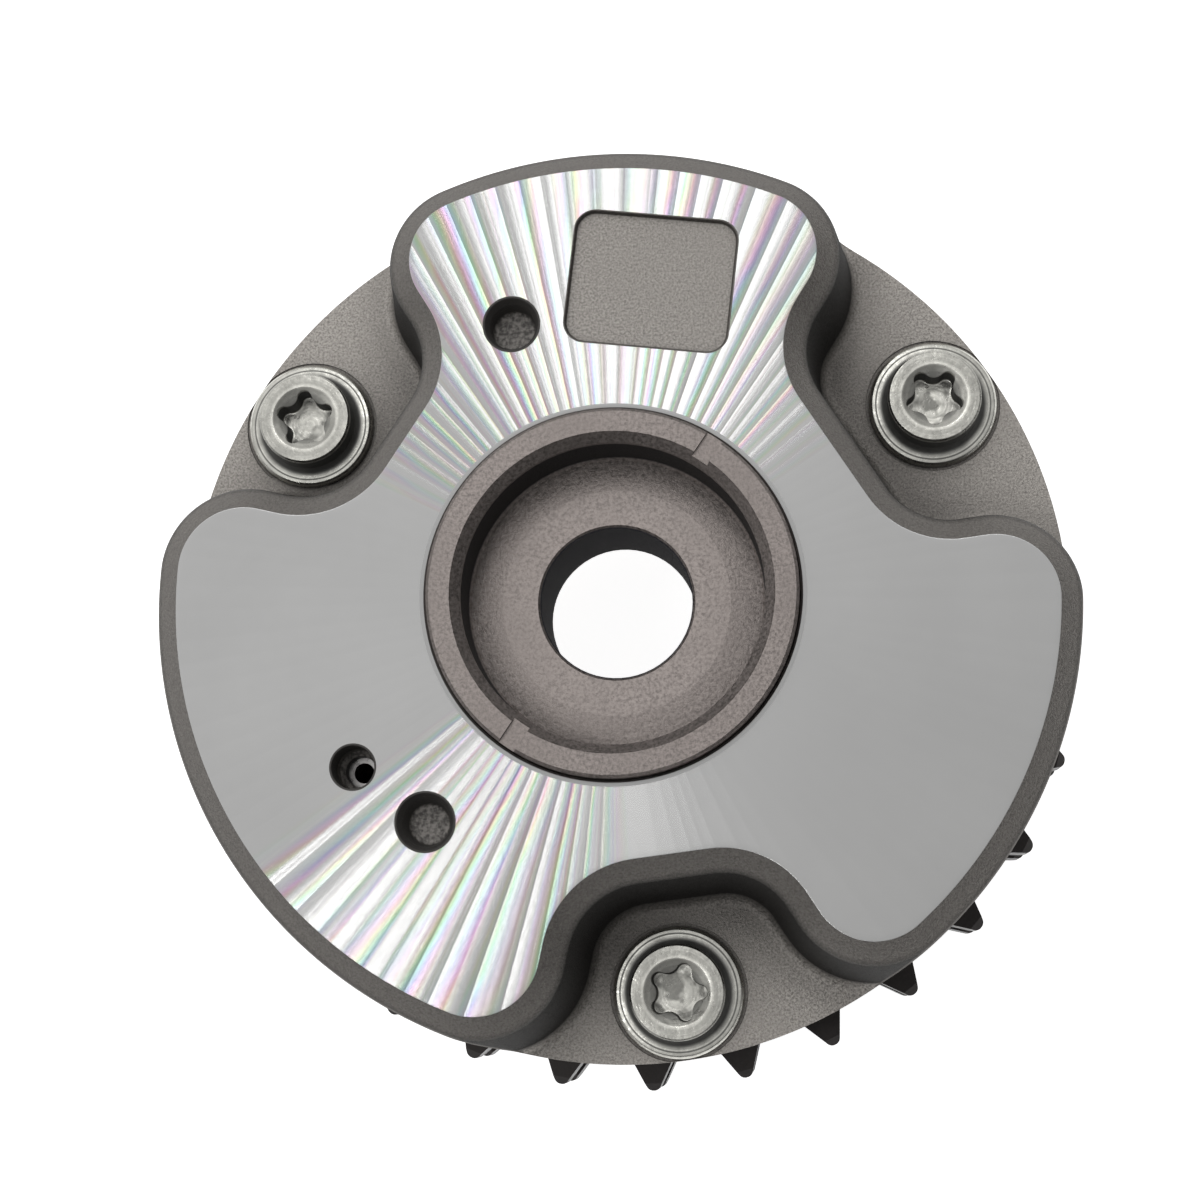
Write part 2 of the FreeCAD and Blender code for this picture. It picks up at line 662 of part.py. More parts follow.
def make_sprocket_plate():
    plate = new_body("plate_body")
    groove_low = S.row_height + S.tooth_width
    groove_high = front_row
    front_side = front_row + S.tooth_width
    bevel = S.tooth_bevel
    turned(plate, "plate_turned", [
        (journal_bore, S.edge_break),
        (journal_bore + S.edge_break, 0),
        (S.boss_radius - S.edge_break, 0),
        (S.boss_radius, S.edge_break),
        (S.boss_radius, S.row_height),
        (S.relief_inner, S.row_height),
        (S.relief_inner + S.edge_break, S.row_height + S.relief_depth),
        (S.relief_outer - S.edge_break, S.row_height + S.relief_depth),
        (S.relief_outer, S.row_height),
        (tip_radius - bevel, S.row_height),
        (tip_radius, S.row_height + bevel),
        (tip_radius, groove_low - bevel),
        (tip_radius - bevel, groove_low),
        (core_radius, groove_low),
        (core_radius, groove_high),
        (tip_radius - bevel, groove_high),
        (tip_radius, groove_high + bevel),
        (tip_radius, front_side - bevel),
        (tip_radius - bevel, front_side),
        (plate_rim, front_side),
        (plate_rim, S.joint_height),
        (journal_bore + S.edge_break, S.joint_height),
        (journal_bore, S.joint_height - S.edge_break),
    ])
    gap = new_sketch(plate, "gap_outline", "XY_Plane", turn=S.tooth_turn)
    draw_tooth_gap(gap)
    one_gap = pocket_up(plate, "tooth_gap", gap, front_side)
    ring = plate.newObject("PartDesign::PolarPattern", "tooth_gaps")
    ring.Originals = [one_gap]
    ring.Axis = (gap, ["N_Axis"])
    ring.Angle = FULL_TURN
    bind(ring, "Occurrences", S.tooth_count)
    plate.Tip = ring
    tools = []
    for index, turn in enumerate(screw_angles):
        tools.append(cylinder("plate_thread_%d" % (index + 1), S.shank_radius + S.fit_gap,
                              groove_high - OVERRUN, S.joint_height + OVERRUN,
                              screw_circle * cosine(turn), screw_circle * sine(turn)))
    tools.append(cylinder("bush_hole", S.bush_radius, S.joint_height - S.bush_depth,
                          S.joint_height + OVERRUN, pin_circle * cosine(pin_seat_turn),
                          pin_circle * sine(pin_seat_turn)))
    tools.append(dowel_hole("plate_dowel_hole", 0, S.joint_height - S.dowel_depth,
                            S.joint_height + OVERRUN))
    return name_part(cut("plate_cut", plate, tools), "sprocket_plate")


def draw_tooth_gap(sketch):
    """Gap between two teeth: a round seat for the chain's bush, leaning flanks and round tips."""
    seat = S.bush_size / 2
    lean_sine, lean_cosine = sine(S.flank_lean), cosine(S.flank_lean)
    touch = (pitch_radius - seat * lean_sine, seat * lean_cosine)
    inside_lean = sine(S.flank_lean - 180 / S.tooth_count)
    full_round = (pitch_radius * lean_sine - seat - tip_radius * inside_lean) / (1 - inside_lean)
    tip_round = derived("tip_round", full_round * S.tip_share)
    across = derived("tip_across", seat + tip_round - pitch_radius * lean_sine)
    reach = tip_radius - tip_round
    along = derived("tip_along", root(reach * reach - across * across))
    centre = (along * lean_cosine - across * lean_sine, along * lean_sine + across * lean_cosine)
    leave = (centre[0] + tip_round * lean_sine, centre[1] - tip_round * lean_cosine)
    crest = [item * tip_radius / reach for item in centre]
    clear = [item * (tip_radius + OVERRUN) / reach for item in centre]
    high_side = [touch, leave, crest, clear]
    low_side = [(x, -y) for x, y in high_side]
    draw_outline(sketch, low_side[:1] + high_side + low_side[:0:-1], {
        0: (pitch_radius, 0, seat),
        2: (centre[0], centre[1], tip_round),
        6: (centre[0], -centre[1], tip_round),
    })


# Rotor

def make_rotor():
    core = new_body("rotor_core")
    pocket_low = bolt_seat_height - S.seat_slope
    turned(core, "rotor_turned", [
        (S.bore_radius, cam_seat_height),
        (S.bore_radius, bolt_seat_height - S.edge_break),
        (S.bore_radius + S.edge_break, bolt_seat_height),
        (S.bolt_seat, bolt_seat_height),
        (S.pocket_radius - S.edge_break, pocket_low),
        (S.pocket_radius, pocket_low + S.edge_break),
        (S.pocket_radius, nose_top - S.nose_slope),
        (S.nose_face, nose_top),
        (S.nose_radius - S.edge_break, nose_top),
        (S.nose_radius, nose_top - S.edge_break),
        (S.nose_radius, rotor_front),
        (S.hub_radius, rotor_front),
        (S.hub_radius, rotor_rear),
        (S.nose_radius, rotor_rear),
        (S.nose_radius, S.journal_end + S.edge_break),
        (S.nose_radius - S.edge_break, S.journal_end),
        (S.socket_radius + S.edge_break, S.journal_end),
        (S.socket_radius, S.journal_end + S.edge_break),
        (S.socket_radius, cam_seat_height),
    ])
    sectors = [cylinder("vane_%d" % (index + 1), vane_tip, rotor_rear, rotor_front,
                        turn=vane_starts[index], span=vane_spans[index])
               for index in range(3)]
    inside = cylinder("vane_root", S.hub_radius - OVERRUN, rotor_rear - OVERRUN, rotor_front + OVERRUN)
    vanes = cut("vanes", fuse("vane_sectors", sectors), [inside])
    whole = fuse("rotor_blank", [core, vanes])
    sides = [start.value for start in vane_starts]
    sides += [start.value + span.value for start, span in zip(vane_starts, vane_spans)]
    rounded = round_upright("vane_roots", whole, S.hub_radius, sides, S.vane_fillet)
    rounded = round_upright("vane_corners", rounded, vane_tip, sides, S.chamber_corner)
    tools = [slot_across_nose()]
    for index in range(3):
        middle = vane_starts[index] + vane_spans[index] / 2
        tools.append(polar_box("vane_slot_%d" % (index + 1), vane_tip - S.slot_depth,
                               vane_tip + OVERRUN, S.slot_width, rotor_rear - OVERRUN,
                               rotor_front + OVERRUN, middle))
        foot = (S.oil_radius + S.vane_fillet) / S.hub_radius * (180 / math.pi)
        low_turn = vane_starts[index] - foot
        high_turn = vane_starts[index] + vane_spans[index] + foot
        tools.append(radial_drilling("oil_low_%d" % (index + 1), S.oil_radius,
                                     S.socket_radius - S.oil_radius,
                                     S.hub_radius + S.oil_radius,
                                     S.oil_level_low, low_turn))
        tools.append(radial_drilling("oil_high_%d" % (index + 1), S.oil_radius,
                                     S.socket_radius - S.oil_radius,
                                     S.hub_radius + S.oil_radius,
                                     S.oil_level_high, high_turn))
    tools.append(cylinder("pin_bore", S.pin_radius + S.fit_gap, rotor_rear - OVERRUN,
                          rotor_front + OVERRUN, pin_x, pin_y))
    tools.append(cylinder("cap_seat", S.cap_radius, cap_low, rotor_front + OVERRUN,
                          pin_x, pin_y))
    turn = S.mark_angle
    tools.append(cylinder("timing_pin_hole", S.timing_hole, cam_seat_height - OVERRUN,
                          cam_seat_height + S.timing_depth,
                          S.timing_circle * cosine(turn), S.timing_circle * sine(turn)))
    return name_part(cut("rotor_cut", rounded, tools), "rotor")


def slot_across_nose():
    """Shallow witness slot that crosses the whole nose along one diameter."""
    reach = S.nose_radius + OVERRUN
    return polar_box("witness_slot", -reach, reach, S.mark_width,
                     nose_top - S.mark_depth, nose_top + OVERRUN, S.mark_angle)


# Seal strips and their springs

def make_seal(label, outer, turn, inward):
    """A seal strip with a shallow notch under it for its spring.

    The outer size is the working edge's distance from the axis; inward strips face the hub.
    """
    way = -1 if inward else 1
    body = new_body(label + "_body")
    sketch = new_sketch(body, label + "_section", "XZ_Plane")
    edge = as_size(outer)
    back = edge - S.strip_height * way
    notch = back + S.spring_strip * way
    low, high = rotor_rear, rotor_front
    margin = S.strip_height
    draw_outline(sketch, [
        (edge, low), (edge, high), (back, high), (back, high - margin),
        (notch, high - margin), (notch, low + margin), (back, low + margin), (back, low),
    ])
    feature = body.newObject("PartDesign::Pad", label + "_pad")
    feature.Profile = sketch
    bind(feature, "Length", S.strip_thickness)
    feature.SideType = "Symmetric"
    place(body, turn=turn)
    return name_part(body, label)


def make_seal_spring(label, floor, crest, turn, inward):
    """A bowed leaf spring between the floor of a slot and the notch of its seal."""
    way = -1 if inward else 1
    body = new_body(label + "_body")
    sketch = new_sketch(body, label + "_section", "XZ_Plane")
    thick = S.spring_strip * way
    low = rotor_rear + S.strip_height * 1.5
    high = rotor_front - S.strip_height * 1.5
    middle = (low + high) / 2
    half = S.strip_height
    draw_outline(sketch, [
        (floor, low), (floor + thick, low),
        (crest, middle - half), (crest, middle + half),
        (floor + thick, high), (floor, high),
        (crest - thick, middle + half), (crest - thick, middle - half),
    ])
    feature = body.newObject("PartDesign::Pad", label + "_pad")
    feature.Profile = sketch
    bind(feature, "Length", S.strip_thickness - S.fit_gap * 2)
    feature.SideType = "Symmetric"
    place(body, turn=turn)
    return name_part(body, label)


def make_seals():
    parts = []
    for index in range(3):
        number = index + 1
        middle = vane_starts[index] + vane_spans[index] / 2
        edge = chamber_radius - S.seal_gap
        notch = edge - S.strip_height + S.spring_strip
        parts.append(make_seal("vane_seal_%d" % number, edge, middle, inward=False))
        parts.append(make_seal_spring("vane_spring_%d" % number, vane_tip - S.slot_depth,
                                      notch, middle, inward=False))
        turn = screw_angles[index]
        edge = S.hub_radius + S.seal_gap
        notch = edge + S.strip_height - S.spring_strip
        parts.append(make_seal("web_seal_%d" % number, edge, turn, inward=True))
        parts.append(make_seal_spring("web_spring_%d" % number, web_slot_end,
                                      notch, turn, inward=True))
    return parts


# Lock pin group

def make_lock_parts():
    pin = new_body("pin_body")
    bevel = S.edge_break
    turned(pin, "pin_turned", [
        (0, 0), (S.pin_nose - bevel, 0), (S.pin_nose, bevel),
        (S.pin_nose, S.pin_step), (S.pin_radius, S.pin_step + bevel),
        (S.pin_radius, S.pin_length - bevel), (S.pin_radius - bevel, S.pin_length),
        (S.pin_hollow, S.pin_length), (S.pin_hollow, S.pin_floor), (0, S.pin_floor),
    ])
    place(pin, pin_x, pin_y, rotor_rear)

    cap = new_body("cap_body")
    turned(cap, "cap_turned", [
        (S.cap_vent, 0), (S.cap_radius - bevel, 0), (S.cap_radius, bevel),
        (S.cap_radius, S.cap_thickness), (S.cap_vent, S.cap_thickness),
    ])
    place(cap, pin_x, pin_y, cap_low)

    bush = new_body("bush_body")
    inner = S.pin_nose + 2 * S.fit_gap
    turned(bush, "bush_turned", [
        (inner, 0), (S.bush_radius, 0), (S.bush_radius, S.bush_depth),
        (inner + bevel, S.bush_depth), (inner, S.bush_depth - bevel),
    ])
    place(bush, pin_circle * cosine(pin_seat_turn), pin_circle * sine(pin_seat_turn),
          S.joint_height - S.bush_depth)

    low = rotor_rear + S.pin_floor + S.coil_wire / 2
    high = cap_low - S.coil_wire / 2
    path = doc.addObject("Part::Helix", "coil_path")
    bind(path, "Height", high - low)
    bind(path, "Pitch", (high - low) / S.coil_turns)
    bind(path, "Radius", S.coil_radius)
    place(path, pin_x, pin_y, low)
    wire = doc.addObject("Part::RegularPolygon", "coil_wire_section")
    wire.Polygon = 6
    bind(wire, "Circumradius", S.coil_wire / 2)
    spot = Vector((pin_x + S.coil_radius).value, pin_y.value, low.value)
    wire.Placement = Placement(spot, Rotation(Vector(1, 0, 0), 90))
    for way, size in (("x", pin_x + S.coil_radius), ("y", pin_y), ("z", low)):
        bind(wire, "Placement.Base." + way, size)
    coil = doc.addObject("Part::Sweep", "coil")
    coil.Sections = [wire]
    coil.Spine = path
    coil.Solid = True
    coil.Frenet = True
    return [name_part(pin, "lock_pin"), name_part(cap, "lock_cap"),
            name_part(bush, "lock_bush"), name_part(coil, "lock_spring")]


# Screws and dowel

def make_screw(index):
    """Flanged screw with a five lobed socket, drawn about its own axis with its seat at zero."""
    label = "screw_%d" % (index + 1)
    body = new_body(label + "_body")
    tip = front_row + S.shank_end - seat_height
    point = S.edge_break * 2
    rim = S.head_radius - S.head_round
    turned(body, label + "_turned", [
        (0, tip), (S.shank_radius - point, tip), (S.shank_radius, tip + point),
        (S.shank_radius, 0), (S.flange_radius, 0),
        (S.flange_radius, S.flange_height / 2),
        (S.flange_radius - S.edge_break, S.flange_height),
        (S.head_radius + point, S.flange_height),
        (S.head_radius, S.flange_height + S.edge_break),
        (S.head_radius, S.head_height - S.head_round),
        (rim, S.head_height),
        (0, S.head_height),
    ])
    socket = new_sketch(body, label + "_socket", "XY_Plane", lift=S.head_height)
    draw_lobes(socket, socket_turns[index])
    pocket_down(body, label + "_pocket", socket, S.lobe_depth)
    turn = screw_angles[index]
    place(body, screw_circle * cosine(turn), screw_circle * sine(turn), seat_height)
    return name_part(body, label)


def draw_lobes(sketch, turn):
    """Five lobed outline of tangent arcs; the valley radius follows from the tangency."""
    lobes = 5
    half_step = 180 / lobes
    reach = S.lobe_reach - S.lobe_round
    side = 2 * cosine(half_step) * reach
    spare = reach * reach + S.lobe_valley * S.lobe_valley - side * S.lobe_valley
    valley_round = (spare - S.lobe_round * S.lobe_round) / (
        2 * S.lobe_round - 2 * S.lobe_valley + side)
    if "valley_round" not in derived_cells:
        derived("valley_round", valley_round)
    valley_round = Size(valley_round.value, "Sizes.valley_round")
    valley_reach = S.lobe_valley + valley_round
    share = S.lobe_round / (S.lobe_round + valley_round)
    corners, arcs = [], {}
    for lobe in range(lobes):
        at = turn + 72 * lobe
        tip_centre = (reach * cosine(at), reach * sine(at))
        for side_step in (-half_step, half_step):
            near = at + side_step
            valley = (valley_reach * cosine(near), valley_reach * sine(near))
            x = tip_centre[0] + share * (valley[0] - tip_centre[0])
            y = tip_centre[1] + share * (valley[1] - tip_centre[1])
            if side_step < 0:
                arcs[len(corners)] = tip_centre + (S.lobe_round,)
            else:
                arcs[len(corners)] = valley + (valley_round,)
            corners.append((x, y))
    draw_outline(sketch, corners, arcs)


def make_dowel():
    body = new_body("dowel_body")
    bevel = S.edge_break
    length = 2 * S.dowel_depth
    turned(body, "dowel_turned", [
        (0, 0), (S.dowel_radius - bevel, 0), (S.dowel_radius, bevel),
        (S.dowel_radius, length - bevel), (S.dowel_radius - bevel, length), (0, length),
    ])
    turn = S.screw_angle_three
    place(body, dowel_circle * cosine(turn), dowel_circle * sine(turn),
          S.joint_height - S.dowel_depth)
    return name_part(body, "locating_dowel")


def check_document(parts):
    """Stop if anything failed to build or a sub-part is empty or broken."""
    for item in doc.Objects:
        for word in ("Invalid", "Error"):
            if word in item.State:
                raise RuntimeError("%s is %s" % (item.Name, item.State))
    for part in parts:
        shape = part.Shape
        if shape.isNull() or not shape.isValid() or not shape.Solids:
            raise RuntimeError("%s has no sound solid" % part.Label)


def main():
    parts = [make_housing(), make_sprocket_plate(), make_rotor()]
    parts += make_seals()
    parts += make_lock_parts()
    parts += [make_screw(index) for index in range(3)]
    parts.append(make_dowel())
    doc.recompute()
    check_document(parts)
    os.makedirs("parts", exist_ok=True)
    for part in parts:
        part.Shape.exportStep(os.path.join("parts", part.Label + ".step"))
        box = part.Shape.BoundBox
        spot = part.Shape.Solids[0].CenterOfMass
        print("%-16s solids %d volume %9.1f z %6.2f to %6.2f centre r %5.2f at %6.1f" % (
            part.Label, len(part.Shape.Solids), part.Shape.Volume, box.ZMin, box.ZMax,
            math.hypot(spot.x, spot.y), math.degrees(math.atan2(spot.y, spot.x))))


main()
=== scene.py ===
"""Camshaft phaser: finely rounded skins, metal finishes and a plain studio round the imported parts.

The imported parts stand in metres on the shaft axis, with the turned front face up. Every skin is a
grid or a profile worked out with numpy and put in the same place as the part that it stands for.
"""

import math

import bmesh
import bpy
import numpy as np
from bpy.props import FloatProperty, FloatVectorProperty, PointerProperty
from mathutils import Matrix
from mathutils.geometry import delaunay_2d_cdt


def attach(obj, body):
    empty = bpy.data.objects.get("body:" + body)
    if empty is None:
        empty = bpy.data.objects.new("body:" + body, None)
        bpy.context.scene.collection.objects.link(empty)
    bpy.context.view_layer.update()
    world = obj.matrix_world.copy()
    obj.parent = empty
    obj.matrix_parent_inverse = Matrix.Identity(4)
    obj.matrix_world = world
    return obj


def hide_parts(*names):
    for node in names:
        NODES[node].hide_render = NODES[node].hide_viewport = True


bl_info = {
    "name": "Camshaft phaser",
    "version": (1, 0, 0),
    "blender": (4, 5, 0),
    "location": "3D View > Sidebar > Phaser",
    "description": "Skins, finishes and studio of a vane camshaft phaser",
    "category": "Object",
}

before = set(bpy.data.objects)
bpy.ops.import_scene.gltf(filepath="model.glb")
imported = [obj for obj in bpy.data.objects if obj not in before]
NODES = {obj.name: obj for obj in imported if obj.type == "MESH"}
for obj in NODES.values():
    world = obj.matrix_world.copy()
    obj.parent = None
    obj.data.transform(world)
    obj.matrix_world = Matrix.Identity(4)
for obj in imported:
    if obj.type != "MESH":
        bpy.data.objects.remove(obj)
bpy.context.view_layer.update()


def length(name, millimetres, description):
    """A length property, given in millimetres and kept in metres."""
    return FloatProperty(name=name, description=description, default=millimetres / 1000,
                         subtype="DISTANCE", unit="LENGTH", precision=5)


def angle(name, degrees, description):
    """An angle property, given in degrees."""
    return FloatProperty(name=name, description=description, default=math.radians(degrees),
                         subtype="ANGLE", unit="ROTATION")


def colour(name, red, green, blue, description):
    """A colour property."""
    return FloatVectorProperty(name=name, description=description, default=(red, green, blue),
                               subtype="COLOR", size=3, min=0, max=1)


def amount(name, value, description, **more):
    """A plain number, not below nothing unless another least value is given."""
    return FloatProperty(name=name, description=description, default=value,
                         **{"min": 0, **more})


class HousingSizes(bpy.types.PropertyGroup):
    """Sizes of the housing, which repeat those of its solid."""

    face_height: length("Face height", 50.5, "Turned face above the rear boss")
    joint_height: length("Joint height", 18.5, "Joint with the sprocket plate")
    ceiling: length("Ceiling", 44.5, "Inner side of the front wall")
    body_radius: length("Body radius", 44.75, "Outside of the housing")
    bevel_width: length("Bevel width", 2.25, "Bevel seen from the front")
    bevel_depth: length("Bevel depth", 1.9, "Bevel along the axis")
    face_round: length("Face edge", 0.22, "Rounded edge of the turned face")
    bevel_round: length("Bevel edge", 1.1, "Rounded edge between bevel and wall")
    bore_radius: length("Bore radius", 17.97, "Bore round the rotor's nose")
    edge_break: length("Edge break", 0.25, "Broken edges")
    screw_circle: length("Screw circle", 38.15, "Radius of the screw circle")
    screw_one: angle("First screw", 147.9, "Direction of the first screw")
    screw_two: angle("Second screw", 33.8, "Direction of the second screw")
    screw_three: angle("Third screw", -81.65, "Direction of the third screw")
    recess_depth: length("Recess depth", 13.75, "Recess floor below the face")
    recess_reach: length("Recess reach", 12.7, "Inner side of a recess, from its screw")
    recess_turn: angle("Recess turn", -0.8, "Turn of a recess from its screw")
    recess_draft: length("Recess draft", 1.5, "Lean of a recess wall")
    recess_fillet: length("Recess fillet", 1.4, "Fillet round a recess floor")
    seat_depth: length("Seat depth", 0.15, "Spot face below the recess floor")
    seat_radius: length("Seat radius", 6.8, "Spot face round a screw")
    hole_radius: length("Screw hole", 3.3, "Screw holes")
    wide_flat: length("Wide flat", 5.8, "Half inner side, wide side")
    wide_hollow: length("Wide hollow", 9.4, "Hollow corner, wide side")
    wide_nose: length("Wide lobe corner", 6.05, "Lobe corner, wide side")
    wide_turn: angle("Wide turn", 34.45, "Screw to lobe corner, wide side")
    wide_web: angle("Wide web", 30.0, "Screw to chamber, wide side")
    tight_flat: length("Tight flat", 1.4, "Half inner side, tight side")
    tight_hollow: length("Tight hollow", 10.0, "Hollow corner, tight side")
    tight_nose: length("Tight lobe corner", 6.3, "Lobe corner, tight side")
    tight_turn: angle("Tight turn", 28.7, "Screw to lobe corner, tight side")
    tight_web: angle("Tight web", 28.2, "Screw to chamber, tight side")
    chamber_radius: length("Chamber radius", 39.2, "Outer wall of the chambers")
    chamber_corner: length("Chamber corner", 1.6, "Fillets of the chambers and webs")
    web_radius: length("Web tips", 21.35, "Inner ends of the webs")
    slot_width: length("Seal slot width", 2.0, "Seal slots in the webs")
    slot_depth: length("Seal slot depth", 3.6, "Depth of the seal slots")
    pad_circle: length("Pad distance", 31.1, "Middle of the sunk pad from the axis")
    pad_angle: angle("Pad direction", 82.9, "Direction of the sunk pad")
    pad_turn: angle("Pad turn", -6.5, "Turn of the sunk pad")
    pad_length: length("Pad length", 16.0, "Longer side of the pad")
    pad_width: length("Pad width", 13.3, "Shorter side of the pad")
    pad_corner: length("Pad corner", 2.0, "Corners of the pad")
    pad_depth: length("Pad depth", 0.5, "Depth of the pad")
    upper_circle: length("Upper hole distance", 28.55, "Upper blind hole from the axis")
    upper_angle: angle("Upper hole direction", 110.2, "Direction of the upper hole")
    upper_radius: length("Upper hole radius", 2.65, "Mouth of the upper hole")
    upper_foot: length("Upper hole floor", 2.15, "Floor of the upper hole")
    lower_circle: length("Lower hole distance", 28.16, "Lower blind hole from the axis")
    lower_angle: angle("Lower hole direction", 230.8, "Direction of the lower hole")
    lower_radius: length("Lower hole radius", 2.75, "Mouth of the lower hole")
    lower_foot: length("Lower hole floor", 1.95, "Floor of the lower hole")
    blind_depth: length("Blind depth", 3.3, "Depth of both blind holes")
    vent_circle: length("Vent distance", 29.84, "Vent hole from the axis")
    vent_angle: angle("Vent direction", 213.7, "Direction of the vent hole")
    vent_radius: length("Vent radius", 2.08, "Mouth of the vent hole")
    vent_throat: length("Vent throat", 1.5, "Narrow part of the vent hole")
    vent_depth: length("Vent depth", 4.2, "Ledge in the vent hole")


class ScrewSizes(bpy.types.PropertyGroup):
    """Sizes of the flanged screws, with heights above the seat."""

    seat_height: length("Seat height", 36.6, "Screw seat above the rear boss")
    tip: length("Tip", -24.37, "End of the shank")
    shank_radius: length("Shank", 2.95, "Radius of the shank")
    flange_radius: length("Flange", 6.47, "Radius of the flange")
    flange_height: length("Flange height", 1.0, "Height of the flange")
    head_radius: length("Head", 4.69, "Radius of the head")
    head_height: length("Head height", 4.15, "Top of the head")
    head_round: length("Head edge", 0.2, "Rounded rim of the head")
    dish_radius: length("Dish", 3.3, "Rim of the conical dish round the socket")
    dish_depth: length("Dish depth", 0.7, "Fall of that dish down to the valleys of the socket")
    lobe_reach: length("Lobe reach", 2.95, "Socket centre to the end of a lobe")
    lobe_valley: length("Lobe valley", 2.05, "Socket centre to a valley")
    lobe_round: length("Lobe end", 0.75, "Radius at the end of a lobe")
    socket_depth: length("Socket depth", 3.1, "Depth of the socket")
    turn_one: angle("First turn", 21.0, "Turn of the first screw")
    turn_two: angle("Second turn", 54.0, "Turn of the second screw")
    turn_three: angle("Third turn", 1.0, "Turn of the third screw")


class Finishes(bpy.types.PropertyGroup):
    """Base colours of the metals and plastic, and the rays of the turned face."""

    turned: colour("Turned face", 0.47, 0.47, 0.465, "Fly cut aluminium")
    cast: colour("Cast skin", 0.40, 0.376, 0.350, "Blasted die casting")
    sintered: colour("Rotor", 0.325, 0.288, 0.271, "Sintered and ground steel")
    sprocket: colour("Sprocket", 0.030, 0.027, 0.026, "Oiled hard steel")
    plated: colour("Screws", 0.72, 0.71, 0.655, "Satin zinc")
    ground: colour("Ground steel", 0.42, 0.41, 0.40, "Pin, bush, cap and dowel")
    spring: colour("Springs", 0.36, 0.35, 0.33, "Spring wire and strip")
    seal: colour("Seals", 0.035, 0.032, 0.030, "Seal strips")
    lean: amount("Lean", 0.075, "Steepest slope along the grooves")
    second: amount("Second fan", 0.85, "Share of the lean in the second fan", max=1)
    calm: amount("Calm", 0.12, "Share of the lean left outside the fans", max=1)
    speckle: amount("Speckle", 0.25, "Uneven slope from spot to spot")
    hollows: amount("Hollows", 100.0, "Chatter hollows in a whole turn", min=1)
    fan_one: angle("Way of the first fan", 95.0, "Direction of the tinted rays above the bore")
    fan_two: angle("Way of the second fan", 245.0, "Direction of the tinted rays below the bore")


class StudioSizes(bpy.types.PropertyGroup):
    """Camera, lamps and floor."""

    lens: FloatProperty(name="Lens", description="Focal length of the camera in millimetres",
                        default=70.77, unit="CAMERA")
    eye: FloatVectorProperty(name="Camera place", description="Camera in the part's frame",
                             default=(0.01710, -0.03835, 0.27231), subtype="TRANSLATION",
                             unit="LENGTH", size=3)
    horizon: amount("Horizon", 0.22, "Strength of the light from the sides")
    zenith: amount("Zenith", 0.78, "Strength of the light from overhead")
    sideways: amount("Sideways", 0.7, "How much more light the left gives", max=1)
    backwards: amount("Backwards", 0.85, "How much more the far side gives", max=1)
    least: amount("Least share", 0.45, "Share of that light on the dim side", max=1)
    key: amount("Key lamp", 0.14, "Power of the lamp above the pad", unit="POWER")
    second: amount("Second lamp", 0.10, "Power of the lamp opposite", unit="POWER")
    floor_size: length("Floor", 10000.0, "Side of the floor")
    edge_height: length("Floor edge", 150.0, "Low wall round the floor, up to the horizon")


# Curves and grids

def directions(angles):
    """Unit vectors for an array of angles: cosine and sine side by side."""
    return np.stack([np.cos(angles), np.sin(angles)], axis=-1)


def ring(centre, radius, count):
    """Points of a circle: the centre plus the radius times each unit vector."""
    return centre + radius * directions(np.linspace(0, 2 * np.pi, count, endpoint=False))


def rounded_line(points, radii, steps=6):
    """A polyline whose corners are arcs that touch both runs.

    At a corner with turn t and radius r an arc starts r tan(t / 2) before the corner, round a
    centre that stands r to the inner side, and swings by t in equal steps.
    """
    points = np.asarray(points, float)
    radii = np.asarray(radii, float)[:, None]
    corner = points[1:-1]
    before = corner - points[:-2]
    after = points[2:] - corner
    before /= np.linalg.norm(before, axis=1, keepdims=True)
    after /= np.linalg.norm(after, axis=1, keepdims=True)
    cross = before[:, :1] * after[:, 1:] - before[:, 1:] * after[:, :1]
    turn = np.arctan2(cross, np.sum(before * after, axis=1, keepdims=True))
    side = np.sign(turn) * np.column_stack([-before[:, 1], before[:, 0]])
    start = corner - before * radii * np.tan(np.abs(turn) / 2)
    centre = start + side * radii
    swing = turn * np.linspace(0, 1, steps)[None]
    arm = start - centre
    x = centre[:, :1] + arm[:, :1] * np.cos(swing) - arm[:, 1:] * np.sin(swing)
    y = centre[:, 1:] + arm[:, :1] * np.sin(swing) + arm[:, 1:] * np.cos(swing)
    arcs = np.stack([x, y], axis=-1).reshape(-1, 2)
    return np.vstack([points[:1], arcs, points[-1:]])


def raised(flat, height):
    """Points of a plane with a height of their own."""
    flat = np.asarray(flat)
    return np.concatenate([flat, np.broadcast_to(height, flat.shape[:-1])[..., None]], axis=-1)


def lathe(profile, centre=(0, 0), count=96):
    """A profile of radius and height carried round an upright axis through the centre."""
    around = directions(np.linspace(0, 2 * np.pi, count, endpoint=False))
    flat = np.asarray(centre) + profile[:, :1, None] * around[None]
    return raised(flat, profile[:, 1:])


def encloses(loop, spots):
    """Which spots lie in a closed loop: those with an odd count of edges to their right."""
    x, y = spots[:, :1], spots[:, 1:]
    x0, y0 = loop[:, 0], loop[:, 1]
    x1, y1 = np.roll(x0, -1), np.roll(y0, -1)
    spans = (y0 > y) != (y1 > y)
    level = np.where(y1 == y0, 1, y1 - y0)
    return (spans & (x < (x1 - x0) * (y - y0) / level + x0)).sum(axis=1) % 2 == 1


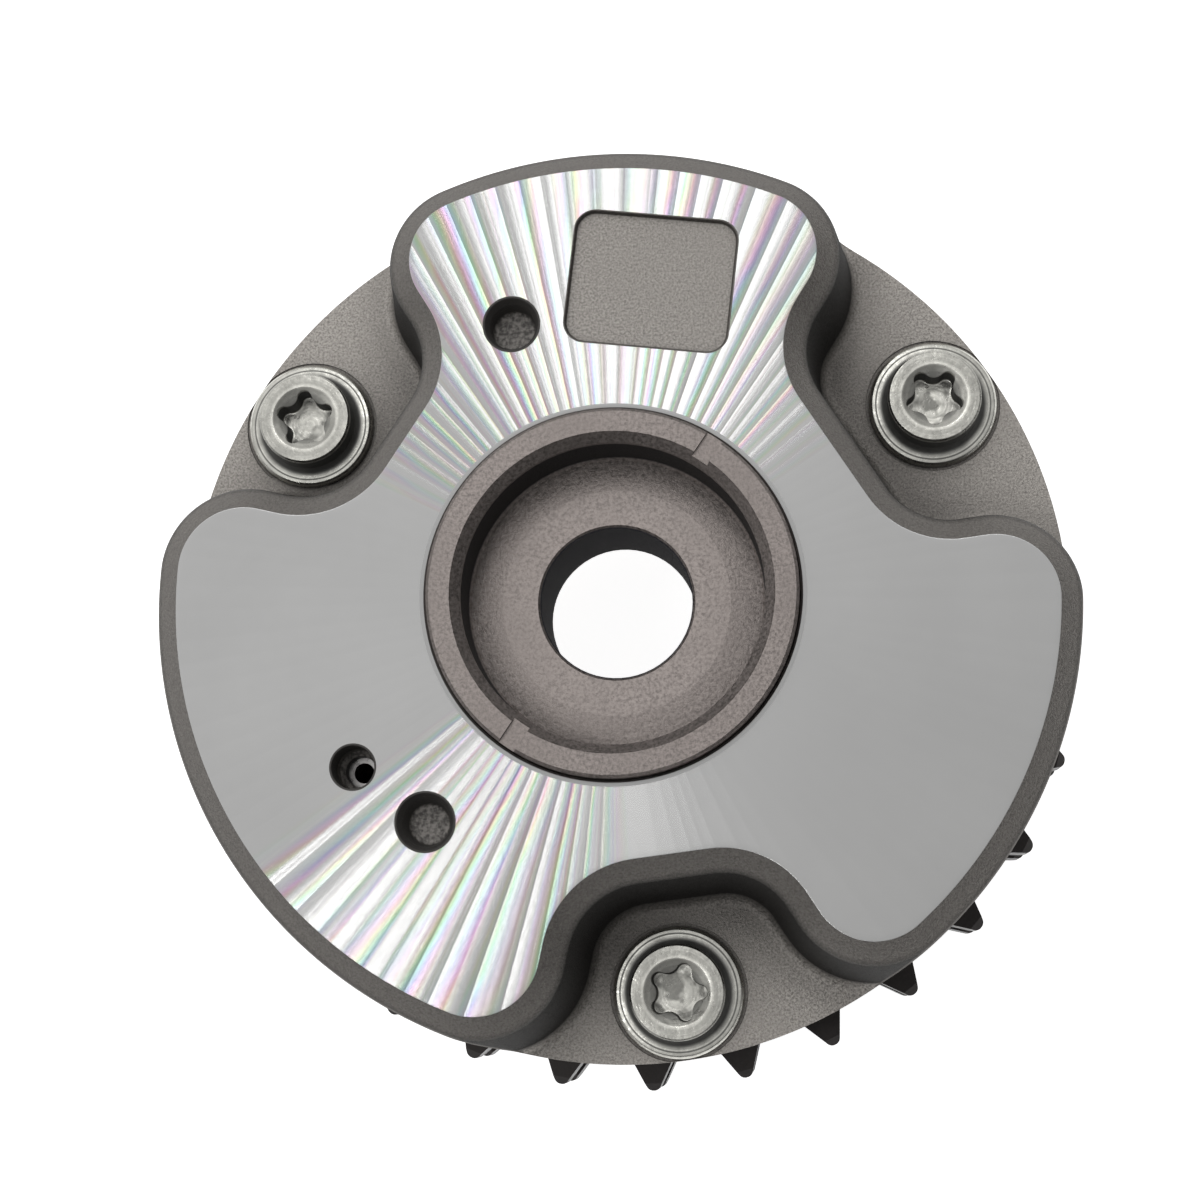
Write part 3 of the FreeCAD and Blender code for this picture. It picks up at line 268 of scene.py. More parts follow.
class Skin:
    """Grids and flat faces of one piece, gathered before they become one closed mesh."""

    def __init__(self):
        self.points, self.faces, self.slots, self.smooth, self.count = [], [], [], [], 0

    def add(self, points, faces, slot, smooth):
        self.points.append(points.reshape(-1, 3))
        self.faces += (faces + self.count).tolist()
        self.slots += [slot] * len(faces)
        self.smooth += [smooth] * len(faces)
        self.count += points.size // 3

    def grid(self, points, closed=True, slot=0):
        """Quads between neighbours in rows and columns; closed joins the last column up."""
        rows, columns = points.shape[:2]
        index = np.arange(rows * columns).reshape(rows, columns)
        low, high = index, np.roll(index, -1, axis=1)
        if not closed:
            low, high = index[:, :-1], index[:, 1:]
        quads = np.stack([low[:-1], high[:-1], high[1:], low[1:]], axis=-1).reshape(-1, 4)
        self.add(points, quads, slot, True)

    def flat(self, outer, holes, height, slot=0):
        """Triangles of a level face between an outer loop and its holes."""
        loops = [outer] + list(holes)
        sizes = [len(loop) for loop in loops]
        starts = np.cumsum([0] + sizes[:-1])
        edges = np.vstack([np.column_stack([np.arange(size), np.roll(np.arange(size), -1)])
                           + start for size, start in zip(sizes, starts)])
        found = delaunay_2d_cdt((np.vstack(loops) * 1000).tolist(), edges.tolist(), [], 1, 1e-6)
        spots = np.array([tuple(spot) for spot in found[0]]) / 1000
        faces = np.array(found[2])
        middle = spots[faces].mean(axis=1)
        keep = encloses(outer, middle)
        for hole in holes:
            keep &= ~encloses(hole, middle)
        self.add(raised(spots, height), faces[keep], slot, False)

    def piece(self, name, materials, sharp=35):
        """Merge what touches, turn the faces outwards and shade by angle."""
        mesh = bpy.data.meshes.new(name)
        mesh.from_pydata(np.vstack(self.points).tolist(), [], self.faces)
        mesh.polygons.foreach_set("material_index", self.slots)
        mesh.polygons.foreach_set("use_smooth", self.smooth)
        work = bmesh.new()
        work.from_mesh(mesh)
        bmesh.ops.remove_doubles(work, verts=work.verts, dist=2e-6)
        bmesh.ops.dissolve_degenerate(work, dist=1e-7, edges=work.edges)
        bmesh.ops.recalc_face_normals(work, faces=work.faces)
        work.to_mesh(mesh)
        work.free()
        mesh.set_sharp_from_angle(angle=math.radians(sharp))
        for material in materials:
            mesh.materials.append(material)
        item = bpy.data.objects.new(name, mesh)
        bpy.context.scene.collection.objects.link(item)
        return item


# Housing

def recess_half(sizes, flat, hollow, nose, turn):
    """Edge of the turned face on one side of a recess, with the face's outward normals.

    The first axis points at the screw. A hollow arc, the line that touches both circles and the
    arc of the lobe's corner follow each other; on each arc a point is its centre plus or minus
    the radius times the normal.
    """
    land = sizes.body_radius - sizes.bevel_width
    hollow_centre = np.array([sizes.screw_circle - sizes.recess_reach + hollow, flat])
    nose_centre = (land - nose) * np.array([math.cos(turn), math.sin(turn)])
    link = nose_centre - hollow_centre
    lean = math.asin((hollow + nose) / np.hypot(*link))
    flank = math.atan2(link[1], link[0]) - lean - math.pi / 2
    first = directions(np.linspace(0, flank, 28))
    last = directions(np.linspace(flank, turn, 40))
    bend = hollow_centre - hollow * first
    corner = nose_centre + nose * last
    share = np.linspace(0, 1, 8)[1:-1, None]
    line = bend[-1] + share * (corner[0] - bend[-1])
    points = np.vstack([bend, line, corner])
    normals = np.vstack([first, np.repeat(first[-1:], len(line), axis=0), last])
    return points, normals


def spin(vectors, turn):
    """Vectors of a plane turned by an angle."""
    cosine, sine = math.cos(turn), math.sin(turn)
    return vectors @ np.array([[cosine, sine], [-sine, cosine]])


def screws_in_turn(sizes, tilt, wide, tight):
    """Direction and both sides at each screw, then direction and first side at the next one."""
    order = [(sizes.screw_two + tilt, wide, wide), (sizes.screw_one + tilt, wide, tight),
             (sizes.screw_three + tilt + 2 * math.pi, tight, wide)]
    after = order[1:] + [(order[0][0] + 2 * math.pi, wide, wide)]
    return [one + other[:2] for one, other in zip(order, after)]


def face_edge(sizes):
    """The whole edge of the turned face with its normals, anticlockwise from the second screw.

    Three recesses, each of two halves, are joined by arcs of the land's radius.
    """
    wide = (sizes.wide_flat, sizes.wide_hollow, sizes.wide_nose, sizes.wide_turn)
    tight = (sizes.tight_flat, sizes.tight_hollow, sizes.tight_nose, sizes.tight_turn)
    land = sizes.body_radius - sizes.bevel_width
    points, normals = [], []
    for turn, low, high, next_turn, next_low in screws_in_turn(sizes, sizes.recess_turn,
                                                               wide, tight):
        for half, mirror in ((low, -1), (high, 1)):
            spots, ways = [spin(item * [1, mirror], turn) for item in recess_half(sizes, *half)]
            points.append(spots[::mirror])
            normals.append(ways[::mirror])
        start, end = turn + high[3], next_turn - next_low[3]
        count = int((end - start) / math.radians(1.0))
        arc = directions(np.linspace(start, end, count)[1:-1])
        points.append(land * arc)
        normals.append(arc)
    return np.vstack(points), np.vstack(normals)


def chamber_edge(sizes):
    """Loop round the rotor's space: webs with seal slots, and chambers with round corners.

    Round a web's corner the radius falls by r (1 - cos) while the way along rises by r sin, and
    in a chamber's outer corner the other way about.
    """
    swing = np.linspace(0, np.pi / 2, 7)
    small = sizes.chamber_corner
    inner, outer = sizes.web_radius, sizes.chamber_radius
    rise = np.concatenate([inner + small * (1 - np.cos(swing)),
                           outer - small * (1 - np.sin(swing))])
    along = np.concatenate([small * (np.sin(swing) - 1), small * (1 - np.cos(swing))])
    half = sizes.slot_width / 2
    slot_floor = inner + sizes.slot_depth
    slot_radius = np.array([inner, slot_floor, slot_floor, inner])
    loops = []
    for turn, _, high, next_turn, next_low in screws_in_turn(sizes, 0.0, sizes.wide_web,
                                                             sizes.tight_web):
        start, end = turn + high, next_turn - next_low
        slot_angle = turn + np.array([-half, -half, half, half]) / slot_radius
        arc = np.linspace(start + small / outer, end - small / outer, 60)[1:-1]
        radius = np.concatenate([slot_radius, rise, np.full(len(arc), outer), rise[::-1]])
        angles = np.concatenate([slot_angle, start + along / rise, arc,
                                 end - along[::-1] / rise[::-1]])
        loops.append(radius[:, None] * directions(angles))
    return np.vstack(loops)


def pad_edge(sizes, inset):
    """Rounded rectangle of the sunk pad, moved inwards by the inset."""
    corner = sizes.pad_corner - inset
    half = np.array([sizes.pad_length, sizes.pad_width]) / 2 - sizes.pad_corner
    quarter = np.linspace(0, np.pi / 2, 10)
    turns = (np.arange(4)[:, None] * np.pi / 2 + quarter).ravel()
    signs = np.repeat(np.array([[1, 1], [-1, 1], [-1, -1], [1, -1]]), len(quarter), axis=0)
    middle = sizes.pad_circle * directions(sizes.pad_angle)
    return middle + spin(signs * half + corner * directions(turns), sizes.pad_turn)


# Slots of the housing's materials, and points round a hole, a screw's seat and the bore
TURNED, CAST, BORED, HOLE, SIDE = range(5)
HOLE_POINTS, SEAT_POINTS, BORE_POINTS = 72, 96, 256


def housing_skin(sizes):
    """The housing as one closed mesh.

    The profile of bevel, wall and fillet gives a depth for each distance outside the edge of
    the turned face. It is carried along that edge and stops where it meets the round outside.
    """
    skin = Skin()
    face, floor = sizes.face_height, sizes.face_height - sizes.recess_depth
    foot = sizes.bevel_width + sizes.recess_draft
    face_strip, floor_strip = 0.0006, 0.0022
    profile = rounded_line(
        [(-face_strip, 0), (0, 0), (sizes.bevel_width, -sizes.bevel_depth),
         (foot, -sizes.recess_depth), (foot + floor_strip, -sizes.recess_depth)],
        [sizes.face_round, sizes.bevel_round, sizes.recess_fillet], steps=7)
    edge, normal = face_edge(sizes)
    along = np.sum(edge * normal, axis=1)
    reach = np.sqrt(along ** 2 + sizes.body_radius ** 2 - np.sum(edge ** 2, axis=1)) - along
    inside = reach > profile[-1, 0]
    distance = np.minimum(profile[:, :1], reach[None])
    depth = np.interp(distance, profile[:, 0], profile[:, 1])
    front = raised(edge[None] + distance[..., None] * normal[None], face + depth)
    bevel_row, floor_row = 4, 18
    skin.grid(front[:bevel_row + 1], slot=TURNED)
    skin.grid(front[bevel_row:floor_row + 1], slot=SIDE)
    skin.grid(front[floor_row:], slot=CAST)

    cut_at = edge + reach[:, None] * normal
    index = np.arange(len(edge))
    bearing = np.unwrap(np.arctan2(cut_at[~inside, 1], cut_at[~inside, 0]))
    bearing = np.interp(index, index[~inside], bearing)
    rim = sizes.body_radius * directions(bearing)
    rim_height = np.where(inside, floor, front[-1, :, 2])
    low = sizes.joint_height
    small = sizes.edge_break
    base = (sizes.body_radius - small) * directions(bearing)
    skin.grid(np.stack([raised(rim, rim_height), raised(rim, low + small), raised(base, low)]),
              slot=SIDE)

    # The spot faces are cut off a margin inside the outer wall
    margin = 0.00005
    seats = []
    steps = np.flatnonzero(inside[1:] != inside[:-1])
    for first in steps:
        pair = [first, first + 1]
        skin.grid(np.stack([front[-1, pair], raised(rim, rim_height)[pair]]), closed=False,
                  slot=CAST)
    for turn, (first, last) in zip((sizes.screw_two, sizes.screw_one, sizes.screw_three),
                                   steps.reshape(-1, 2)):
        run = slice(first + 1, last + 1)
        centre = sizes.screw_circle * directions(turn)
        seat = ring(centre, sizes.seat_radius, SEAT_POINTS)
        away = np.linalg.norm(seat, axis=1, keepdims=True)
        seat *= np.minimum(1, (sizes.body_radius - margin) / away)
        hole = ring(centre, sizes.hole_radius, SEAT_POINTS)
        seats.append(hole)
        skin.flat(np.vstack([front[-1, run, :2], rim[run][::-1]]), [seat], floor, slot=CAST)
        rows = np.stack([raised(seat, floor), raised(seat, floor - sizes.seat_depth),
                         raised(hole, floor - sizes.seat_depth), raised(hole, low)])
        skin.grid(rows[:3], slot=CAST)
        skin.grid(rows[2:], slot=HOLE)

    loop = chamber_edge(sizes)
    skin.grid(np.stack([raised(loop, low), raised(loop, sizes.ceiling)]), slot=BORED)
    skin.flat(base, [loop] + seats, low, slot=BORED)

    # Each mouth has a lip, a strip of the face that its rounded edge starts from
    lip = 0.0002
    mouth = sizes.bore_radius + small
    bore = rounded_line([(mouth + 2 * lip, face), (mouth, face),
                         (sizes.bore_radius, face - small), (sizes.bore_radius, sizes.ceiling)],
                        [0.00005, 0.0001], steps=4)
    skin.grid(lathe(bore, count=BORE_POINTS), slot=BORED)
    mouths = [ring(0, mouth + 2 * lip, BORE_POINTS)]

    for circle, turn, radius, foot_radius in (
            (sizes.upper_circle, sizes.upper_angle, sizes.upper_radius, sizes.upper_foot),
            (sizes.lower_circle, sizes.lower_angle, sizes.lower_radius, sizes.lower_foot)):
        centre = circle * directions(turn)
        bottom = face - sizes.blind_depth
        step = radius - 0.00032
        line = rounded_line([(radius + lip, face), (radius, face), (step, face - 0.0009),
                             (step - 0.00006, face - 0.0010), (foot_radius, bottom), (0, bottom)],
                            [0.00006, 0.00004, 0.00003, 0.00035], steps=5)
        skin.grid(lathe(line, centre, HOLE_POINTS), slot=HOLE)
        mouths.append(ring(centre, radius + lip, HOLE_POINTS))

    centre = sizes.vent_circle * directions(sizes.vent_angle)
    ledge = face - sizes.vent_depth
    line = rounded_line([(sizes.vent_radius + lip, face), (sizes.vent_radius, face),
                         (sizes.vent_radius - 0.00004, ledge), (sizes.vent_throat, ledge - 0.0003),
                         (sizes.vent_throat, sizes.ceiling)],
                        [0.00006, 0.0002, 0.00006], steps=5)
    skin.grid(lathe(line, centre, HOLE_POINTS), slot=HOLE)
    mouths.append(ring(centre, sizes.vent_radius + lip, HOLE_POINTS))
    skin.flat(loop, [ring(0, sizes.bore_radius, BORE_POINTS),
                     ring(centre, sizes.vent_throat, HOLE_POINTS)], sizes.ceiling, slot=BORED)

    line = rounded_line([(-0.00015, 0), (0, 0), (0.00012, -sizes.pad_depth),
                         (0.0006, -sizes.pad_depth)], [0.0001, 0.00018], steps=5)
    rows = np.stack([raised(pad_edge(sizes, inset), face + drop) for inset, drop in line])
    # The pad's rounded edge and wall take the darker side finish, a painted shade line along the
    # step
    wall_row = 8
    skin.grid(rows[:wall_row + 1], slot=SIDE)
    skin.grid(rows[wall_row:], slot=CAST)
    skin.flat(pad_edge(sizes, line[-1, 0]), [], face - sizes.pad_depth, slot=CAST)
    mouths.append(pad_edge(sizes, line[0, 0]))
    skin.flat(front[0, :, :2], mouths, face, slot=TURNED)
    return skin


# Screws

def lobed_edge(sizes, turn, count):
    """Distance from the socket's middle to its five lobed edge, for directions all round.

    Lobe ends are arcs about centres on a circle, valleys arcs about centres further out that
    touch them. Within each tenth of a turn the edge is the far crossing with the lobe's circle
    up to the tangent point, and the near crossing with the valley's circle after it.
    """
    half = math.pi / 5
    reach = sizes.lobe_reach - sizes.lobe_round
    side = 2 * math.cos(half) * reach
    spare = reach ** 2 + sizes.lobe_valley ** 2 - side * sizes.lobe_valley
    valley = (spare - sizes.lobe_round ** 2) / (2 * sizes.lobe_round - 2 * sizes.lobe_valley + side)
    far = sizes.lobe_valley + valley
    share = sizes.lobe_round / (sizes.lobe_round + valley)
    touch = reach + share * (far * complex(math.cos(half), math.sin(half)) - reach)
    swing = math.atan2(touch.imag, touch.real)
    around = np.linspace(0, 2 * np.pi, count, endpoint=False)
    off = np.abs((around - turn + half) % (2 * half) - half)
    on_lobe = reach * np.cos(off) + np.sqrt(
        np.maximum(sizes.lobe_round ** 2 - (reach * np.sin(off)) ** 2, 0))
    back = half - off
    in_valley = far * np.cos(back) - np.sqrt(
        np.maximum(valley ** 2 - (far * np.sin(back)) ** 2, 0))
    return np.where(off < swing, on_lobe, in_valley)


def screw_skin(sizes, place, turn, count=240):
    """One flanged screw: rings of the turned outside, then rings that follow the lobed edge.

    The dish is a cone, so the lobed edge stands the higher the further it lies from the axis:
    its height is the top less the slope times the distance to the dish's rim.
    """
    top, rim = sizes.head_height, sizes.head_radius
    flange, high = sizes.flange_radius, sizes.flange_height
    tip, shank, dish = sizes.tip, sizes.shank_radius, sizes.dish_radius
    chamfer = 0.0006
    slope = sizes.dish_depth / (dish - sizes.lobe_valley)
    outside = rounded_line(
        [(0, tip), (shank - chamfer, tip), (shank, tip + chamfer), (shank, 0),
         (flange - 0.00012, 0), (flange, 0.0002), (flange - 0.00005, high - 0.0003),
         (flange - 0.0003, high), (rim + 0.00035, high + 0.00005), (rim, high + 0.0006),
         (rim - 0.00003, top - sizes.head_round * 0.7), (rim - sizes.head_round, top),
         (dish, top), (dish - 0.00015, top - 0.00015 * slope)],
        [0.0001, 0.0001, 0.00005, 0.00008, 0.0001, 0.0002, 0.0002, 0.0003, 0.0002, 0.0001,
         0.0001, 0.00025], steps=5)
    edge = lobed_edge(sizes, turn, count)[None]
    level = top - (dish - edge) * slope
    upper = rounded_line([(0.0001, 0.0001 * slope), (0, 0), (-0.00002, -0.0004)], [0.00006], 5)
    lower = rounded_line([(-0.00002, 0.0004), (-0.00004, 0), (-0.0004, 0)], [0.00012], 5)
    floor = np.full((1, count), top - sizes.socket_depth)
    closing = np.array([0.66, 0.33, 0.0])[:, None]
    radius = np.vstack([outside[:, :1] * np.ones(count), edge + upper[:, :1],
                        edge + lower[:, :1], (edge + lower[-1, 0]) * closing])
    height = np.vstack([outside[:, 1:] * np.ones(count), level + upper[:, 1:],
                        floor + lower[:, 1:], np.repeat(floor, 3, axis=0)])
    around = directions(np.linspace(0, 2 * np.pi, count, endpoint=False))
    flat = np.asarray(place) + radius[..., None] * around[None]
    skin = Skin()
    skin.grid(raised(flat, sizes.seat_height + height))
    return skin


def keep_radius(mesh, place):
    """Store each point's distance from the screw's axis, which the turning rings follow."""
    spots = np.empty(len(mesh.vertices) * 3)
    mesh.vertices.foreach_get("co", spots)
    away = np.linalg.norm(spots.reshape(-1, 3)[:, :2] - place, axis=1)
    mesh.attributes.new("ring", "FLOAT", "POINT").data.foreach_set("value", away)


# Finishes

def rgba(value, gain=1.0):
    """A colour with its strength changed, and full cover."""
    return (value[0] * gain, value[1] * gain, value[2] * gain, 1.0)


class Tree:
    """A node tree and a short way to add nodes to it."""

    def __init__(self, tree):
        self.tree = tree
        self.column = 0

    def node(self, kind, inputs=None, **settings):
        """Add a node; inputs gives a value or another node's socket by name or number."""
        item = self.tree.nodes.new(kind)
        self.column -= 1
        item.location = (self.column * 180, 0)
        for key, value in settings.items():
            setattr(item, key, value)
        for key, value in (inputs or {}).items():
            self.join(value, item.inputs[key])
        return item

    def join(self, value, socket):
        """Set a socket to a value, or link another node's socket to it."""
        if isinstance(value, bpy.types.NodeSocket):
            self.tree.links.new(value, socket)
        else:
            socket.default_value = value

    def maths(self, operation, first, second=0.0):
        return self.node("ShaderNodeMath", {0: first, 1: second}, operation=operation).outputs[0]

    def plus(self, first, second):
        return self.maths("ADD", first, second)

    def times(self, first, second):
        return self.maths("MULTIPLY", first, second)

    def most(self, first, second):
        return self.maths("MAXIMUM", first, second)

    def rest(self, share):
        """What a share leaves of the whole."""
        return self.maths("SUBTRACT", 1.0, share)

    def along(self, operation, first, second):
        """A step of arithmetic with vectors or colours."""
        return self.node("ShaderNodeVectorMath", {0: first, 1: second}, operation=operation
                         ).outputs[0]

    def mix(self, factor, first, second):
        item = self.node("ShaderNodeMix", {0: factor, 6: first, 7: second}, data_type="RGBA")
        return item.outputs[2]

    def spread(self, value, low, high, start=0.0, end=1.0):
        """Carry a value from one range to another, kept within it."""
        return self.node("ShaderNodeMapRange", {0: value, 1: start, 2: end, 3: low, 4: high}
                         ).outputs[0]

    def rise(self, value, start, end):
        """Nothing below the first value and all above the second."""
        return self.spread(value, 0.0, 1.0, start, end)

    def fall(self, value, start, end):
        """All below the first value and nothing above the second."""
        return self.spread(value, 1.0, 0.0, start, end)

    def grained(self, grain, start, end, tint, dark, light):
        """A tint that goes from one strength to another with a grain."""
        return self.mix(self.rise(grain, start, end), rgba(tint, dark), rgba(tint, light))

    def noise(self, vector, scale, detail=3.0, roughness=0.5):
        return self.node("ShaderNodeTexNoise", {"Vector": vector, "Scale": scale,
                                                "Detail": detail, "Roughness": roughness}
                         ).outputs["Fac"]

    def vector(self, x, y=0.0, z=0.0):
        return self.node("ShaderNodeCombineXYZ", {0: x, 1: y, 2: z}).outputs[0]

    def places(self):
        """Object coordinates, their parts, and the distance and direction from the axis."""
        spot = self.node("ShaderNodeTexCoord").outputs["Object"]
        x, y, z = self.node("ShaderNodeSeparateXYZ", {0: spot}).outputs[:3]
        far = self.maths("SQRT", self.plus(self.times(x, x), self.times(y, y)))
        return spot, x, y, z, far, self.maths("ARCTAN2", y, x)

    def bump(self, height, strength, distance, under=None):
        inputs = {"Height": height, "Strength": strength, "Distance": distance}
        if under is not None:
            inputs["Normal"] = under
        return self.node("ShaderNodeBump", inputs).outputs[0]

    def corners(self, tone, dark):
        """Painted shade: darken a tone where walls stand close around, as ambient occlusion finds
        them.
        """
        hidden = self.node("ShaderNodeAmbientOcclusion", {"Distance": 0.009}, samples=8
                           ).outputs["AO"]
        return self.mix(self.spread(hidden, 0.9, 0.0, 0.30, 0.86), tone, dark)


class Finish(Tree):
    """A material and the nodes that lead to its shader."""

    def __init__(self, name):
        self.material = bpy.data.materials.new(name)
        self.material.use_nodes = True
        super().__init__(self.material.node_tree)
        self.shader = self.tree.nodes["Principled BSDF"]

    def set(self, **inputs):
        """Set the shader's sockets, named with underscores for spaces."""
        for key, value in inputs.items():
            self.join(value, self.shader.inputs[key.replace("_", " ")])
        return self.material


def turned_finish(looks, housing):
    """Fly cut aluminium: grooves round the axis, and rays across them where lamps catch.

    The cutter's chatter leaves shallow hollows side by side round the face. Along a hollow the
    surface's lean runs evenly from one side to the other and jumps back at the next one, so
    each hollow shows the lamp as one ray. Noise makes the hollows uneven, and a grain finer
    than the eye can part softens them.
    """
    made = Finish("turned_aluminium")
    spot, x, y, z, far, way = made.places()
    bearing = made.vector(made.maths("DIVIDE", x, far), made.maths("DIVIDE", y, far))
    drift = made.noise(bearing, 3.0, 2.0)

    # How much of the lean shows: all within two fans, and a calm share elsewhere
    fans, reach = 0.0, looks.calm
    for turn, edge, heart, full in ((looks.fan_one, 0.45, 0.72, 1.0),
                                    (looks.fan_two, 0.872, 0.91, looks.second)):
        toward = made.node("ShaderNodeVectorMath", {0: bearing, 1: (math.cos(turn),
                           math.sin(turn), 0)}, operation="DOT_PRODUCT").outputs["Value"]
        fans = made.most(fans, made.rise(toward, edge, heart))
        reach = made.most(reach, made.spread(toward, looks.calm, full, edge, heart))

    grain = made.plus(made.noise(spot, 24000.0, 1.0), -0.5)
    lean = made.times(made.times(grain, looks.speckle), reach)
    phases = []
    for count, share, uneven in ((looks.hollows, 0.8, 3.0), (3.3 * looks.hollows, 0.2, 16.0)):
        turns = made.times(way, round(count) / (2 * math.pi))
        phases.append(made.plus(turns, made.times(drift, uneven)))
        part = made.plus(made.maths("FRACT", phases[-1]), -0.5)
        lean = made.plus(lean, made.times(made.times(part, 2 * share * looks.lean), reach))

    # The normal leans along the groove
    side = made.vector(made.maths("DIVIDE", y, made.times(far, -1.0)),
                       made.maths("DIVIDE", x, far))
    side = made.node("ShaderNodeVectorTransform", {0: side}, vector_type="VECTOR",
                     convert_from="OBJECT", convert_to="WORLD").outputs[0]
    plain = made.node("ShaderNodeNewGeometry").outputs["Normal"]
    leaning = made.node("ShaderNodeVectorMath", {0: side, "Scale": lean}, operation="SCALE")
    leaning = made.along("ADD", plain, leaning.outputs[0])
    leaning = made.along("NORMALIZE", leaning, (0, 0, 0))

    # Painted diffraction colours: faint rainbow tints in the fans; and a painted highlight: a bright
    # line along the edge of the face
    hue = made.plus(phases[0], made.times(far, 25.0))
    hue = made.maths("FRACT", made.plus(hue, made.noise(spot, 90.0, 2.0)))
    strong = made.times(fans, made.spread(made.noise(bearing, 30.0, 2.0), 0.0, 0.28, 0.44, 0.64))
    tint = made.node("ShaderNodeCombineColor", {0: hue, 1: strong, 2: 1.0}, mode="HSV").outputs[0]
    satin = made.grained(made.noise(spot, 60.0), 0.3, 0.7, looks.turned, 0.97, 1.03)
    face = housing.face_height
    # Painted highlight: the face's rounded edge turns near white and less metallic
    rim = made.fall(z, face - 0.00004, face - 0.000005)
    satin = made.mix(rim, made.along("MULTIPLY", satin, tint), (0.95, 0.95, 0.95, 1))
    scratches = made.times(made.noise(spot, 900.0, 2.0), 0.03)
    around = made.node("ShaderNodeTangent", direction_type="RADIAL", axis="Z").outputs[0]
    return made.set(Base_Color=satin, Metallic=made.spread(rim, 1.0, 0.2), Anisotropic=1.0,
                    Anisotropic_Rotation=0.25, Normal=leaning, Tangent=around,
                    Roughness=made.plus(made.spread(far, 0.20, 0.235, 0.020, 0.040), scratches))


def cast_skin(made, looks, housing):
    """Tone, bump and roughness of the blasted casting: fine grain, faint mottling, and painted shade
    where walls stand close.
    """
    spot, _, _, z, far, _ = made.places()
    grain = made.noise(spot, 7000.0, 2.0, 0.6)
    speck = made.noise(spot, 4300.0, 3.0, 0.7)
    tone = made.grained(speck, 0.36, 0.64, looks.cast, 0.52, 1.45)
    tone = made.mix(made.spread(made.noise(spot, 90.0), 0.0, 0.4, 0.35, 0.7), tone,
                    rgba(looks.cast, 0.90))
    pad = made.spread(z, 0.0, 0.3, housing.face_height - 0.0055, housing.face_height - 0.0015)
    tone = made.mix(pad, tone, rgba(looks.cast, 0.60))
    # Painted shade where walls stand close round the floors
    tone = made.corners(tone, rgba(looks.cast, 0.10))
    rough = made.bump(grain, 0.7, 0.00006)
    rough = made.bump(speck, 0.7, 0.00012, rough)
    return speck, z, far, tone, rough, made.spread(speck, 0.42, 0.58, 0.3, 0.7)


def cast_finish(looks, housing):
    """Blasted casting of the recess floors and the pad."""
    made = Finish("cast_aluminium")
    _, _, _, tone, rough, dull = cast_skin(made, looks, housing)
    return made.set(Base_Color=tone, Metallic=1.0, Normal=rough, Roughness=dull)


def side_finish(looks, housing):
    """Bevel and walls of the casting: dull below the bevel, and painted dark as shade in the
    recesses.

    In a recess the wall turns into the floor's own grey within its fillet.
    """
    made = Finish("cast_side")
    speck, z, far, floor, rough, dull = cast_skin(made, looks, housing)
    # The bevel is darker partly by its own blast and partly as painted shade; the outside wall is
    # darker and the recess walls near black, both painted shade
    bevel = made.grained(speck, 0.34, 0.66, looks.cast, 0.30, 0.52)
    recess_shade = made.grained(speck, 0.34, 0.66, looks.cast, 0.035, 0.10)
    outer = made.grained(speck, 0.34, 0.66, looks.cast, 0.40, 0.62)
    outside = made.rise(far, housing.body_radius - 0.0002, housing.body_radius - 0.0001)
    low = housing.face_height - housing.recess_depth
    high = housing.face_height - housing.bevel_depth
    foot = made.times(made.rest(outside), made.fall(z, low + 0.00015, low + 0.00105))
    wall = made.times(made.fall(z, high - 0.0003, high + 0.0005), made.rest(foot))
    tone = made.mix(wall, bevel, made.mix(outside, recess_shade, outer))
    return made.set(Base_Color=made.mix(foot, tone, floor), Normal=rough,
                    Metallic=made.fall(wall, 0.0, 1.0), Specular_IOR_Level=0.15,
                    Roughness=made.most(dull, made.times(wall, 0.75)))


def bored_finish(looks):
    """Machined bores and seats: rings along the axis on a grey metal."""
    made = Finish("bored_aluminium")
    z = made.places()[3]
    rings = made.noise(made.vector(0.0, 0.0, made.times(z, 9000.0)), 1.0)
    tone = made.mix(rings, rgba(looks.turned, 0.55), rgba(looks.turned, 0.75))
    return made.set(Base_Color=tone, Metallic=1.0, Roughness=made.spread(rings, 0.3, 0.45),
                    Normal=made.bump(rings, 0.2, 0.00002))


def hole_finish(looks, housing):
    """Cast holes: walls painted near black as shade, and a rough floor that still catches some
    light.
    """
    made = Finish("cast_hole")
    spot, _, _, z, _, _ = made.places()
    speck = made.noise(spot, 3000.0, 4.0)
    floor = made.grained(speck, 0.38, 0.62, looks.cast, 0.25, 0.75)
    blind = housing.face_height - housing.blind_depth
    ledge = housing.face_height - housing.vent_depth
    # Only the floors keep the grained tone; the walls get a near black tone, painted shade inside
    # the holes
    deep = made.times(made.fall(z, blind + 0.00005, blind + 0.0004),
                      made.rise(z, ledge - 0.0006, ledge - 0.0003))
    return made.set(Base_Color=made.mix(deep, rgba(looks.cast, 0.16), floor), Metallic=0.4,
                    Roughness=0.6, Normal=made.bump(speck, 0.6, 0.00015))


